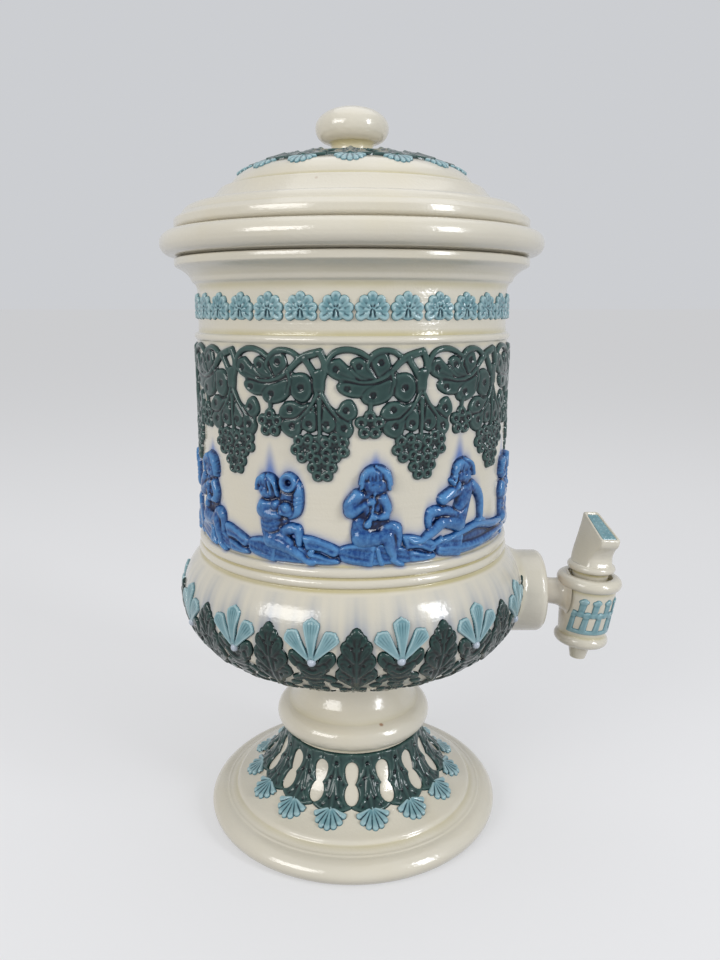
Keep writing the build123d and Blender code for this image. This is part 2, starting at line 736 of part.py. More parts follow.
with BuildPart() as tap_key:
    with BuildSketch(key_side):
        with BuildLine():
            plug_foot = (plug_radius_at(-plug_depth), -plug_depth)
            plug_top = (plug_radius_at(plug_top_height), plug_top_height)
            neck_low = (plug_top[0], plug_top_height)
            disc_edge_low = (key_disc_radius - key_disc_round, disc_low)
            disc_edge_high = (key_disc_radius - key_disc_round, disc_high)
            Line((0, -plug_depth), plug_foot)
            Line(plug_foot, plug_top)
            Line(plug_top, (key_neck_radius, tap_top_height))
            Line((key_neck_radius, tap_top_height), (key_neck_radius, disc_low))
            Line((key_neck_radius, disc_low), disc_edge_low)
            ThreePointArc(disc_edge_low, (key_disc_radius, (disc_low + disc_high) / 2), disc_edge_high)
            Line(disc_edge_high, (0, disc_high))
            Line((0, disc_high), (0, -plug_depth))
        make_face()
    revolve(axis=barrel_axis)
    add(thumb_piece.part)
    with BuildSketch(Plane(origin=key_frame.origin, x_dir=key_frame.x_dir, z_dir=-key_frame.z_dir)):
        Circle(nozzle_bore_radius)
    extrude(amount=plug_depth + overrun, mode=Mode.SUBTRACT)
    with BuildSketch(key_end):
        Circle(shank_bore_radius)
    extrude(amount=plug_top_radius + overrun, mode=Mode.SUBTRACT)

# Inlay on the sloping top of the thumb-piece
slope_rear = Vector(thumb_rear * 0.85, disc_high + thumb_rear_height)
slope_front = Vector(thumb_front, disc_high + thumb_front_height)
slope_middle = (slope_rear + slope_front) * 0.5
slope_along = (slope_front - slope_rear).normalized()
slope_length = (slope_front - slope_rear).length
inlay_plane = Plane(
    origin=key_frame.origin + key_frame.x_dir * slope_middle.X + key_frame.z_dir * slope_middle.Y,
    x_dir=key_frame.x_dir * slope_along.X + key_frame.z_dir * slope_along.Y,
    z_dir=key_frame.x_dir * -slope_along.Y + key_frame.z_dir * slope_along.X,
)
with BuildPart() as key_inlay:
    with BuildSketch(inlay_plane):
        with BuildLine():
            half_length = slope_length / 2 - inlay_margin
            half_rear = thumb_top_thickness / 2 - inlay_margin / 2
            half_front = thumb_mid_thickness / 2 - inlay_margin / 2
            Polyline(
                (-half_length, half_rear),
                (half_length, half_front),
                (half_length, -half_front),
                (-half_length, -half_rear),
                close=True,
            )
        make_face()
    extrude(amount=inlay_thickness)

# Lattice sprig round the tap's barrel: a band with arched windows below and notches above
lattice_high = tap_top_height - tap_ring_height - lattice_window_height * 0.9
lattice_low = -tap_depth + tap_base_ring_height + lattice_window_height * 0.15


def tap_barrel_radius(height):
    """Radius of the tap's tapered barrel at a height over the shank's axis."""
    low = -tap_depth + tap_base_ring_height
    share = (height - low) / (tap_top_height - tap_ring_height - low)
    return tap_foot_radius + (tap_top_radius - tap_foot_radius) * share


with BuildPart() as tap_lattice_sprig:
    with BuildSketch(
        Plane(
            origin=barrel_frame.origin,
            x_dir=barrel_frame.x_dir * -cos(radians(lattice_open_turn / 2))
            + barrel_frame.y_dir * -sin(radians(lattice_open_turn / 2)),
            z_dir=barrel_frame.x_dir * -sin(radians(lattice_open_turn / 2))
            + barrel_frame.y_dir * cos(radians(lattice_open_turn / 2)),
        )
    ):
        with BuildLine():
            low_r, high_r = tap_barrel_radius(lattice_low), tap_barrel_radius(lattice_high)
            Polyline(
                (low_r, lattice_low),
                (low_r + lattice_proud, lattice_low),
                (high_r + lattice_proud, lattice_high),
                (high_r, lattice_high),
                close=True,
            )
        make_face()
    revolve(axis=barrel_axis, revolution_arc=360 - lattice_open_turn)
    for place in range(lattice_count):
        turn = radians(-180 + lattice_open_turn / 2 + (place + 0.5) * (360 - lattice_open_turn) / lattice_count)
        outward = barrel_frame.x_dir * cos(turn) + barrel_frame.y_dir * sin(turn)
        window_plane = Plane(
            origin=barrel_frame.origin,
            x_dir=barrel_frame.z_dir.cross(outward),
            z_dir=outward,
        )
        with BuildSketch(window_plane):
            with Locations((0, lattice_low + lattice_window_height * 0.75)):
                Ellipse(lattice_window_width / 2, lattice_window_height / 2)
            with Locations((0, lattice_high)):
                Ellipse(lattice_window_width / 2, lattice_window_height / 2)
        extrude(amount=tap_ring_radius, mode=Mode.SUBTRACT)

# Every sprig is an outline pushed through a skin of clay over the surface that carries it
with BuildPart() as boss_clearance:
    with BuildSketch(Plane.YZ.offset(boss_start)):
        with Locations((0, boss_height)):
            Circle(boss_radius + boss_gap)
    extrude(amount=boss_reach - boss_start)


def pressed(plane, outline, skin):
    """One sprig: an outline on a plane, pushed both ways through a skin of clay."""
    with BuildPart() as sprig:
        with BuildSketch(plane):
            add(outline)
        extrude(amount=push_reach, both=True)
        add(skin, mode=Mode.INTERSECT)
    return sprig.part


def drawn(shares, width, height):
    """The outline whose points are shares of a width and a height."""
    with BuildSketch() as outline:
        Polygon(*sized(shares, width, height), align=None)
    return outline.sketch


# Palmettes on the neck band
palmette_shares = both_sides(
    [(0, 0.5), (0.08, 0.42), (0.2, 0.47), (0.24, 0.34), (0.4, 0.3), (0.38, 0.14), (0.5, 0.02),
     (0.42, -0.12), (0.46, -0.32), (0.24, -0.5), (0.1, -0.3)]
)
neck_band_line = [(neck_band_radius, neck_band_level), (neck_band_radius, fillet_bead_level)]
palmette_level = neck_band_level + palmette_over_girdle + palmette_height / 2
palmette = pressed(
    facing_out(neck_band_radius, palmette_level),
    drawn(palmette_shares, palmette_width, palmette_height),
    clay_skin(neck_band_line, palmette_proud),
)
with BuildPart() as palmette_sprigs:
    with PolarLocations(0, palmette_count, start_angle=front + palmette_turn):
        add(palmette)

# Vine sprigs, hung from the girdle: a broad leaf on an arched branch, two small leaves on the
# stem, a rosette of five berries, and a bunch of three clusters. Shares are across and down
# from the top of the stem.
branch_shares = [
    (-0.53, -0.1), (-0.5, -0.05), (-0.4, -0.01), (-0.17, -0.03), (0, -0.01), (0.07, -0.02),
    (0.08, -0.07), (0.05, -0.2), (-0.04, -0.24), (-0.12, -0.17), (-0.18, -0.13), (-0.3, -0.22),
    (-0.34, -0.16), (-0.2, -0.07), (-0.38, -0.05),
]
broad_leaf_shares = [
    (-0.3, -0.15), (-0.39, -0.05), (-0.5, -0.08), (-0.56, -0.1), (-0.72, -0.02), (-0.85, -0.05),
    (-0.91, -0.12), (-0.88, -0.19), (-0.82, -0.24), (-0.8, -0.29), (-0.73, -0.34), (-0.61, -0.34),
    (-0.55, -0.39), (-0.45, -0.4), (-0.36, -0.35), (-0.33, -0.3), (-0.28, -0.36), (-0.2, -0.39),
    (-0.11, -0.35), (-0.08, -0.29), (-0.1, -0.22), (-0.17, -0.19), (-0.26, -0.19),
]
left_leaf_shares = [
    (0, -0.34), (-0.17, -0.41), (-0.33, -0.41), (-0.39, -0.45), (-0.4, -0.5), (-0.36, -0.53),
    (-0.37, -0.58), (-0.33, -0.63), (-0.25, -0.65), (-0.18, -0.62), (-0.14, -0.6), (-0.09, -0.54), (0, -0.43),
]
right_leaf_shares = [
    (0, -0.35), (0.12, -0.4), (0.2, -0.39), (0.28, -0.39), (0.35, -0.46), (0.32, -0.51), (0.31, -0.59),
    (0.27, -0.64), (0.2, -0.61), (0.14, -0.58), (0.07, -0.57), (0, -0.45),
]
rosette_shares = (-0.54, -0.55)
cluster_shares = [(-0.14, -0.73), (0.16, -0.72), (0.03, -0.88)]
berry_count = 5
berry_radius = vine_width * 0.063
berry_ring_radius = vine_width * 0.091
cluster_radius = vine_width * 0.135
vine_stem_width = vine_width * 0.08
barrel_line = [(barrel_radius, barrel_level), (barrel_radius, girdle_level)]
with BuildSketch() as vine_outline:
    for leaf_shares in (branch_shares, broad_leaf_shares, left_leaf_shares, right_leaf_shares):
        Polygon(*sized(leaf_shares, vine_width, vine_height), align=None)
    with Locations(*sized([rosette_shares], vine_width, vine_height)):
        Circle(berry_ring_radius)
        with PolarLocations(berry_ring_radius, berry_count, start_angle=-front):
            Circle(berry_radius)
    with Locations(*sized(cluster_shares, vine_width, vine_height)):
        Circle(cluster_radius)
    Polygon(*sized(cluster_shares, vine_width, vine_height), align=None)
    with Locations((0, -vine_height * 0.2)):
        Rectangle(vine_stem_width, vine_height * 0.5, align=(Align.CENTER, Align.MAX))
    with Locations(*sized([rosette_shares], vine_width, vine_height)):
        Rectangle(vine_stem_width, vine_height * 0.2, align=(Align.CENTER, Align.MIN))
vine_sprig = pressed(
    facing_out(barrel_radius, girdle_level - vine_below_girdle),
    vine_outline.sketch,
    clay_skin(barrel_line, vine_proud),
)
with BuildPart() as vine_sprigs:
    with PolarLocations(0, frieze_count, start_angle=front + vine_turn):
        add(vine_sprig)

# Seated children between the vines, each pressed in one piece: one with a horn, one with a pipe
# and one who leans back on an arm. Each has the middle of the head, then the body's outline.
figure_turn = front + vine_turn - 180 / frieze_count
figure_patterns = [
    ((-0.06, 0.28), [
        (-0.19, 0.15), (-0.26, 0), (-0.25, -0.12), (-0.2, -0.25), (-0.24, -0.35), (-0.06, -0.43),
        (0.25, -0.42), (0.44, -0.46), (0.59, -0.5), (0.73, -0.48), (0.75, -0.4), (0.59, -0.35),
        (0.5, -0.29), (0.53, -0.15), (0.38, -0.06), (0.49, 0.02), (0.53, 0.17), (0.47, 0.29),
        (0.4, 0.4), (0.25, 0.44), (0.14, 0.35), (0.21, 0.21),
    ]),
    ((0.07, 0.4), [
        (-0.17, 0.27), (-0.33, 0.15), (-0.37, 0.04), (-0.28, -0.08), (-0.29, -0.23), (-0.16, -0.32),
        (0.12, -0.33), (0.22, -0.44), (0.25, -0.5), (0.5, -0.5), (0.5, -0.45), (0.36, -0.4),
        (0.44, -0.29), (0.49, -0.14), (0.34, -0.06), (0.36, 0.06), (0.27, 0.21), (0.19, 0.27),
    ]),
    ((0.03, 0.4), [
        (-0.24, 0.34), (-0.48, 0.08), (-0.39, 0.01), (-0.55, 0.09), (-0.7, 0.01), (-0.69, -0.17),
        (-0.61, -0.21), (-0.81, -0.25), (-0.84, -0.31), (-0.72, -0.35), (-0.44, -0.31), (-0.28, -0.24),
        (-0.12, -0.3), (0.12, -0.27), (0.2, -0.04), (0.28, 0.06), (0.42, 0), (0.49, -0.22),
        (0.64, -0.25), (0.59, 0.02), (0.42, 0.23), (0.25, 0.27),
    ]),
]
head_radius = figure_height * 0.15
figure_level = barrel_level + figure_over_beads + figure_height / 2
figures = []
for head_shares, body_shares in figure_patterns:
    with BuildSketch() as figure_outline:
        Polygon(*sized(body_shares, figure_width, figure_height), align=None)
        with Locations(*sized([head_shares], figure_width, figure_height)):
            Circle(head_radius)
    figures.append(
        pressed(
            facing_out(barrel_radius, figure_level),
            figure_outline.sketch,
            clay_skin(barrel_line, figure_proud),
        )
    )
with BuildPart() as figure_sprigs:
    for place in range(frieze_count):
        turn = figure_turn + place * 360 / frieze_count
        add(figures[place % len(figures)], rotation=(0, 0, turn))

# Drapery that hangs from figure to figure, cut where they sit on it
swag_width = 2 * barrel_radius * sin(radians(180 / frieze_count))
swag_shares = [
    (-0.4, 0.44), (-0.2, 0.12), (0, 0), (0.2, 0.12), (0.4, 0.44), (0.46, 0.1), (0.3, -0.3), (0, -0.5),
    (-0.3, -0.3), (-0.46, 0.1),
]
swag = pressed(
    facing_out(barrel_radius, barrel_level + swag_over_beads + swag_height / 2),
    drawn(swag_shares, swag_width, swag_height),
    clay_skin(barrel_line, swag_proud),
)
with BuildPart() as drapery_swags:
    with PolarLocations(0, frieze_count, start_angle=front + vine_turn):
        add(swag)
    add(figure_sprigs.part, mode=Mode.SUBTRACT)
    add(boss_clearance.part, mode=Mode.SUBTRACT)

# Acanthus leaves on the bowl
bowl_pitch = 360 / bowl_leaf_count
leaf_r, leaf_z = bowl_outline[3]
bowl_leaf_shares = both_sides(
    [(0, 0.79), (0.14, 0.74), (0.2, 0.68), (0.17, 0.64), (0.34, 0.6), (0.38, 0.53), (0.31, 0.49),
     (0.43, 0.43), (0.46, 0.35), (0.37, 0.31), (0.48, 0.24), (0.5, 0.14), (0.4, 0.1), (0.5, 0.0),
     (0.44, -0.11), (0.3, -0.18), (0.1, -0.21)]
)
bowl_leaf = pressed(
    facing_out(leaf_r, leaf_z, bowl_leaf_tilt),
    drawn(bowl_leaf_shares, bowl_leaf_width, bowl_leaf_length),
    clay_skin(bowl_outline, bowl_leaf_proud),
)
with BuildPart() as bowl_leaf_sprigs:
    with PolarLocations(0, bowl_leaf_count, start_angle=front + bowl_leaf_turn):
        add(bowl_leaf)
    add(boss_clearance.part, mode=Mode.SUBTRACT)

# Three-petal fans between the leaves, each over a calyx with a pearl at its heart
fan_r, fan_z = bowl_outline[4]
fan_turn = front + bowl_leaf_turn + bowl_pitch / 2
heart_drop = fan_height * 0.34
petal_shares = both_sides([(0, 1), (0.3, 0.95), (0.34, 0.88), (0.5, 0.82), (0.46, 0.68), (0.12, 0)])
pearl = pressed(
    facing_out(fan_r, fan_z - heart_drop),
    RegularPolygon(pearl_radius, 8),
    clay_skin(bowl_outline, pearl_proud),
)
with BuildPart() as bowl_pearls:
    with PolarLocations(0, bowl_leaf_count, start_angle=fan_turn):
        add(pearl)
    add(boss_clearance.part, mode=Mode.SUBTRACT)

with BuildSketch() as fan_outline:
    for turn, length_share in ((-petal_spread, 0.8), (0, 1), (petal_spread, 0.8)):
        with Locations(Location((0, -heart_drop, 0), turn)):
            Polygon(*sized(petal_shares, petal_width, fan_height * length_share), align=None)
fan = pressed(facing_out(fan_r, fan_z), fan_outline.sketch, clay_skin(bowl_outline, fan_proud))
with BuildPart() as fan_sprigs:
    with PolarLocations(0, bowl_leaf_count, start_angle=fan_turn):
        add(fan)
    add(bowl_pearls.part, mode=Mode.SUBTRACT)
    add(boss_clearance.part, mode=Mode.SUBTRACT)

calyx_shares = both_sides(
    [(0, 0), (0.2, 0.2), (0.42, 0.3), (0.5, 0.14), (0.46, -0.06), (0.28, -0.16), (0.24, -0.42), (0.3, -0.6),
     (0.18, -0.7)]
)
calyx = pressed(
    facing_out(fan_r, fan_z - heart_drop, bowl_leaf_tilt / 2),
    drawn(calyx_shares, calyx_width, calyx_height),
    clay_skin(bowl_outline, calyx_proud),
)
with BuildPart() as calyx_sprigs:
    with PolarLocations(0, bowl_leaf_count, start_angle=fan_turn):
        add(calyx)
    add(fan_sprigs.part, mode=Mode.SUBTRACT)
    add(bowl_pearls.part, mode=Mode.SUBTRACT)
    add(boss_clearance.part, mode=Mode.SUBTRACT)

# Ring of dark leaves under the bowl
base_leaf_shares = both_sides(
    [(0, 1), (0.22, 0.86), (0.3, 0.66), (0.5, 0.56), (0.34, 0.3), (0.4, 0.1), (0.3, 0)]
)
with BuildSketch() as base_leaf_outline:
    Circle(base_ring_radius)
    Circle(base_ring_radius - base_ring_width, mode=Mode.SUBTRACT)
    with PolarLocations(base_ring_radius - base_ring_width / 2, base_leaf_count):
        Polygon(
            *[(y, x) for x, y in sized(base_leaf_shares, base_leaf_width, base_leaf_length)], align=None,
        )
with BuildPart() as bowl_base_leaf_ring:
    with BuildSketch(Plane.XY.offset(bowl_level)):
        add(base_leaf_outline.sketch)
    extrude(amount=bowl_height / 2)
    add(clay_skin(bowl_outline, base_leaf_proud), mode=Mode.INTERSECT)

# Openwork leaf collar on the foot, with a shell at the tip of each leaf
foot_r, foot_z = flare_outline[2]
foot_pitch = 2 * foot_r * tan(radians(180 / foot_leaf_count))
collar_leaf_shares = both_sides(
    [(0, 0.5), (0.42, 0.5), (0.42, 0.42), (0.2, 0.34), (0.12, 0.2), (0.24, 0.08), (0.5, -0.02), (0.5, -0.08),
     (0.34, -0.16), (0.26, -0.26), (0.36, -0.36), (0.3, -0.48)]
)
shell_shares = both_sides([(0, 0.5), (0.3, 0.4), (0.5, 0.06), (0.4, -0.28), (0.18, -0.36), (0.12, -0.5)])
foot_plane = facing_out(foot_r, foot_z, flare_tilt)
foot_skin = clay_skin(flare_outline, foot_leaf_proud)
with BuildSketch() as foot_shell_outline:
    with Locations((0, -foot_leaf_length / 2 - foot_shell_height / 4)):
        Polygon(*sized(shell_shares, foot_shell_width, foot_shell_height), align=None)
foot_shell = pressed(foot_plane, foot_shell_outline.sketch, clay_skin(flare_outline, foot_shell_proud))
with BuildPart() as foot_shell_sprigs:
    with PolarLocations(0, foot_leaf_count, start_angle=front + foot_leaf_turn):
        add(foot_shell)
foot_leaf = pressed(foot_plane, drawn(collar_leaf_shares, foot_pitch, foot_leaf_length), foot_skin)
with BuildPart() as foot_leaf_collar:
    with PolarLocations(0, foot_leaf_count, start_angle=front + foot_leaf_turn):
        add(foot_leaf)
    add(foot_shell_sprigs.part, mode=Mode.SUBTRACT)

# Leaf ring on the dome of the lid, with a shell at the tip of each leaf
lid_r, lid_z = moved_along(dome_outline[2], dome_outline[3], lid_leaf_place_share)
lid_pitch = 2 * lid_r * tan(radians(180 / lid_leaf_count))
lid_plane = facing_out(lid_r, lid_z, dome_tilt)
lid_skin = clay_skin(dome_outline, lid_leaf_proud)
with BuildSketch() as lid_shell_outline:
    with Locations((0, -lid_leaf_length / 2 - lid_shell_height / 4)):
        Polygon(*sized(shell_shares, lid_shell_width, lid_shell_height), align=None)
lid_shell = pressed(lid_plane, lid_shell_outline.sketch, clay_skin(dome_outline, lid_shell_proud))
with BuildPart() as lid_shell_sprigs:
    with PolarLocations(0, lid_leaf_count, start_angle=front + lid_leaf_turn):
        add(lid_shell)
lid_leaf = pressed(lid_plane, drawn(collar_leaf_shares, lid_pitch, lid_leaf_length), lid_skin)
with BuildPart() as lid_leaf_ring:
    with PolarLocations(0, lid_leaf_count, start_angle=front + lid_leaf_turn):
        add(lid_leaf)
    add(lid_shell_sprigs.part, mode=Mode.SUBTRACT)

# One file for each piece
finished = {
    "pedestal_foot": pedestal_foot,
    "urn_body": urn_body,
    "filter_vessel": filter_vessel,
    "lid": lid,
    "lid_knob": lid_knob,
    "carbon_filter_block": carbon_filter_block,
    "filter_stem": filter_stem,
    "upper_washer": upper_washer,
    "lower_washer": lower_washer,
    "wing_nut": wing_nut,
    "tap_body": tap_body,
    "tap_cork": tap_cork,
    "tap_key": tap_key,
    "key_inlay": key_inlay,
    "tap_lattice_sprig": tap_lattice_sprig,
    "palmette_sprigs": palmette_sprigs,
    "vine_sprigs": vine_sprigs,
    "figure_sprigs": figure_sprigs,
    "drapery_swags": drapery_swags,
    "bowl_leaf_sprigs": bowl_leaf_sprigs,
    "fan_sprigs": fan_sprigs,
    "calyx_sprigs": calyx_sprigs,
    "bowl_pearls": bowl_pearls,
    "bowl_base_leaf_ring": bowl_base_leaf_ring,
    "foot_leaf_collar": foot_leaf_collar,
    "foot_shell_sprigs": foot_shell_sprigs,
    "lid_leaf_ring": lid_leaf_ring,
    "lid_shell_sprigs": lid_shell_sprigs,
}
for name, piece in finished.items():
    piece.part.label = name
    export_step(piece.part, f"parts/{name}.step")
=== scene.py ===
import math

import bpy
import numpy as np
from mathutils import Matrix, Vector


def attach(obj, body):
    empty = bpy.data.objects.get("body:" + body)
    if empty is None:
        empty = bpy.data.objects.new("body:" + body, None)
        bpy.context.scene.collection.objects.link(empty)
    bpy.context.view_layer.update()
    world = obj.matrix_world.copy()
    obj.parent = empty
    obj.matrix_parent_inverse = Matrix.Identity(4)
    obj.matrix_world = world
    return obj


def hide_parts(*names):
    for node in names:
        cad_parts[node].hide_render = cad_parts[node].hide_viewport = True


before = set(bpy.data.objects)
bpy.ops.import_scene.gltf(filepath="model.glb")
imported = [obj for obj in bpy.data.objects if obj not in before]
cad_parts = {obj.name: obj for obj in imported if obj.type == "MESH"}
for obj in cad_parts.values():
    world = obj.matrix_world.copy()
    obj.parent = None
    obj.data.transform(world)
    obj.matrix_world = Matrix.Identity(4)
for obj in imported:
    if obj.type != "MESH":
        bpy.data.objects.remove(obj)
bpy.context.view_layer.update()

# A stoneware table water filter: turned cream stoneware with relief ornament in coloured clay.
# Lengths are millimetres in the frame of the CAD and become metres where a mesh is made. Turns
# are degrees from the front (-Y) toward the tap (+X). A sprig's own grid runs across to the
# right and up along the surface that carries it.
MM = 0.001
GRID = 0.42  # of the sprigs' clay
SEEN_SIDES = 384  # of a large turned surface

# Levels and radii of the turned surfaces
wall = 8.0
foot_top = 90.5  # of the hollow under the foot
waist_level = 88.0
waist_radius = 29.0
bowl_foot = 98.5
bowl_radius = 98.0
barrel_foot = 177.4
barrel_radius = 85.0
girdle = 283.4
neck_band = 287.3
neck_radius = 84.0
bore_radius = 77.0
rim_level = 325.0
seat_gap = 0.05  # under the vessel's rim and under the lid
pan_radius = 72.0
pan_foot = 201.0
pan_floor = 209.0
stem_hole = 8.2
torus_radius = 102.5
mouth_radius = 69.0
lid_seat = 338.7
lid_radius = 94.7
lid_wall = 5.4
flange_inside = 61.8
flange_radius = 67.8
knob_foot = 377.6
knob_middle = 392.3
knob_radius = 19.5

# Tap. Levels on its barrel are measured up from the shank's axis.
boss_radius = 24.0
boss_reach = 112.0
boss_level = 135.0
boss_fillet = 5.0
boss_round = 4.5
cork_radius = 14.5
tap_lean = 5.0
barrel_offset = 28.4  # from the boss's end face
shank_radius = 7.8
shank_inside = 26.0  # behind the boss's end face
tap_top = 12.5
tap_top_radius = 16.6
tap_foot = -30.5
tap_foot_radius = 14.0
tap_ring_radius = 19.0
nozzle_tip = -40.5
nozzle_radius = 7.0
nozzle_tip_radius = 4.6
nozzle_bore = 3.0
plug_foot = -29.0
key_neck_radius = 10.7
disc_low = 15.1
disc_high = 19.7
disc_radius = 14.0
key_turn = 15.0

# Ornament
vine_turn = -10.5
frieze_count = 11
figure_turn = vine_turn - 180 / frieze_count
palmette_turn = 6.2
palmette_count = 32
bowl_count = 14
bowl_leaf_turn = 1.0
base_leaf_count = 28
foot_count = 15
foot_turn = 10.9
lid_count = 15
lid_turn = -1.0

# Camera of the photograph
camera_place = (0, -0.4534, 0.3001)
camera_yaw = 0.53
camera_pitch = 12.18
lens = 30.0
film_width = 36.0


# Outlines

def arc(start, middle, end, count=12):
    """Points of the arc through three points, without its last."""
    (x1, y1), (x2, y2), (x3, y3) = start, middle, end
    a = np.array([[x2 - x1, y2 - y1], [x3 - x1, y3 - y1]], float)
    b = 0.5 * np.array([x2 * x2 - x1 * x1 + y2 * y2 - y1 * y1, x3 * x3 - x1 * x1 + y3 * y3 - y1 * y1])
    cx, cy = np.linalg.solve(a, b)
    turns = np.unwrap([math.atan2(y - cy, x - cx) for x, y in (start, middle, end)])
    radius = math.hypot(x1 - cx, y1 - cy)
    return [
        (cx + radius * math.cos(t), cy + radius * math.sin(t))
        for t in np.linspace(turns[0], turns[2], count + 1)[:-1]
    ]


def arcs(*points, count=12):
    """Arcs through each point and the next two, with the last point."""
    line = []
    for place in range(0, len(points) - 2, 2):
        line += arc(*points[place:place + 3], count)
    return line + [points[-1]]


def evenly(points, step):
    """The same line with points a step apart."""
    points = np.array(points, float)
    run = np.concatenate([[0], np.cumsum(np.hypot(*np.diff(points, axis=0).T))])
    places = np.linspace(0, run[-1], max(int(run[-1] / step), 2) + 1)
    return np.stack([np.interp(places, run, points[:, k]) for k in (0, 1)], 1)


def softened(points, round_off):
    """The line with its corners rounded as glaze rounds them; its ends stay."""
    step = round_off / 2.5
    line = evenly(points, step)
    reach = 6
    weights = np.exp(-0.5 * (np.arange(-reach, reach + 1) * step / round_off) ** 2)
    weights /= weights.sum()
    before, after = 2 * line[:1] - line[reach:0:-1], 2 * line[-1:] - line[-2:-reach - 2:-1]
    padded = np.concatenate([before, line, after])
    soft = np.stack([np.convolve(padded[:, k], weights, "valid") for k in (0, 1)], 1)
    soft[0], soft[-1] = line[0], line[-1]
    soft[:, 0] = np.maximum(soft[:, 0], 0)
    return soft


def thinned(line, tolerance, longest):
    """The line with only the points that its shape needs, and none further apart than longest."""
    kept = [0]
    last = 0
    while last < len(line) - 1:
        ahead = last + 1
        while ahead + 1 < len(line):
            a, b = line[last], line[ahead + 1]
            chord = b - a
            length = math.hypot(*chord)
            off = np.abs(np.cross(chord, line[last:ahead + 2] - a)).max() / max(length, 1e-9)
            if off > tolerance or length > longest:
                break
            ahead += 1
        kept.append(ahead)
        last = ahead
    return line[kept]


bowl_line = arcs(
    (41.3, 98.5), (59, 102), (76, 108.6), (90.6, 120.6), (98, 140.6), (95.3, 155.9), (86.7, 166.5)
)
flare_line = arcs((69.9, 17.5), (58.5, 22.5), (48.6, 31), (42.1, 42), (39, 54.3))
dome_line = arcs((65.4, 361), (62.7, 365.3), (56.5, 369.3), (38, 374.6), (12.4, 377.9))


class Carrier:
    """A turned surface that sprigs lie on: radius, level and outward direction along its outline."""

    def __init__(self, line, zero=0.0):
        line = evenly(line, 0.5)
        self.zero = zero
        self.run = np.concatenate([[0], np.cumsum(np.hypot(*np.diff(line, axis=0).T))])
        slope = np.gradient(line, self.run, axis=0)
        length = np.hypot(slope[:, 0], slope[:, 1])
        self.columns = (line[:, 0], line[:, 1], slope[:, 1] / length, -slope[:, 0] / length)

    def at(self, along):
        return [np.interp(along + self.zero, self.run, column) for column in self.columns]


barrel_line = [(barrel_radius, barrel_foot), (barrel_radius, girdle)]
barrel = Carrier(barrel_line)
barrel_from_top = Carrier(barrel_line, zero=girdle - barrel_foot)
neck = Carrier([(neck_radius, neck_band), (neck_radius, 309.2)])
bowl = Carrier(bowl_line)
flare = Carrier(flare_line)
dome = Carrier(dome_line)
tap_cone = Carrier([(tap_foot_radius, -24.0), (tap_top_radius, 5.0)])


# Meshes

def plain_mesh(name, points, faces, values=None):
    """A smooth mesh from points in mm, a list of face arrays and named values for its points."""
    mesh = bpy.data.meshes.new(name)
    points = np.asarray(points, float)
    mesh.vertices.add(len(points))
    mesh.vertices.foreach_set("co", (points * MM).astype(np.float32).ravel())
    corners = np.concatenate([np.asarray(f).ravel() for f in faces])
    sizes = np.concatenate([np.full(len(f), f.shape[1]) for f in map(np.asarray, faces)])
    mesh.loops.add(len(corners))
    mesh.loops.foreach_set("vertex_index", corners.astype(np.int32))
    mesh.polygons.add(len(sizes))
    mesh.polygons.foreach_set("loop_start", (np.cumsum(sizes) - sizes).astype(np.int32))
    for key, column in (values or {}).items():
        layer = mesh.attributes.new(key, "FLOAT", "POINT")
        layer.data.foreach_set("value", np.asarray(column, np.float32))
    mesh.update(calc_edges=True)
    mesh.validate()
    mesh.shade_smooth()
    return mesh


def place(name, mesh, body, material, nodes=()):
    """Puts a mesh in the scene on a CAD body, standing for the CAD nodes that it replaces."""
    piece = bpy.data.objects.new(name, mesh)
    bpy.context.scene.collection.objects.link(piece)
    mesh.materials.append(material)
    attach(piece, body)
    if nodes:
        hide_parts(*nodes)
    return piece


def moved(points, frame_of):
    """The points with a frame matrix applied."""
    return points @ frame_of[:3, :3].T + frame_of[:3, 3]


def turned(line, sides, frame_of=None):
    """Points, faces and rows of a line turned about an axis. A point on the axis becomes a pole."""
    points, rows, total = [], [], 0
    turns = np.linspace(0, 2 * math.pi, sides, endpoint=False)
    for r, z in line:
        if r < 1e-6:
            points.append(np.array([[0, 0, z]]))
            rows.append(np.full(sides, total))
            total += 1
        else:
            points.append(np.stack([r * np.sin(turns), -r * np.cos(turns), np.full(sides, z)], 1))
            rows.append(total + np.arange(sides))
            total += sides
    quads, tris = [], []
    for low, high in zip(rows, rows[1:]):
        low_next, high_next = np.roll(low, -1), np.roll(high, -1)
        low_pole, high_pole = low[0] == low[1], high[0] == high[1]
        if low_pole and not high_pole:
            tris.append(np.stack([low, high_next, high], 1))
        elif high_pole and not low_pole:
            tris.append(np.stack([low, low_next, high], 1))
        elif not low_pole:
            quads.append(np.stack([low, low_next, high_next, high], 1))
    points = np.concatenate(points)
    if frame_of is not None:
        points = moved(points, frame_of)
    return points, [np.concatenate(f) for f in (quads, tris) if f], rows


def joined(parts):
    """Several (points, faces) in one."""
    points, faces, total = [], [], 0
    for some_points, some_faces in parts:
        points.append(some_points)
        faces += [f + total for f in some_faces]
        total += len(some_points)
    return np.concatenate(points), faces


def strips(rings):
    """The points of rings of equally many points, and the faces between them."""
    number = np.arange(len(rings) * len(rings[0])).reshape(len(rings), -1)
    low, high = number[:-1], number[1:]
    quads = np.stack([low, np.roll(low, -1, 1), np.roll(high, -1, 1), high], -1)
    return np.concatenate(rings), quads.reshape(-1, 4)


def grid_faces(number, cells):
    """Faces of a grid of numbered points, for the cells in use."""
    return np.stack([number[:-1, :-1], number[:-1, 1:], number[1:, 1:], number[1:, :-1]], -1)[cells]


def trimmed(quads, *columns):
    """The faces numbered anew for the points that they use, with the values of those points."""
    kept, quads = np.unique(quads, return_inverse=True)
    return (quads.reshape(-1, 4), *(column[kept] for column in columns))


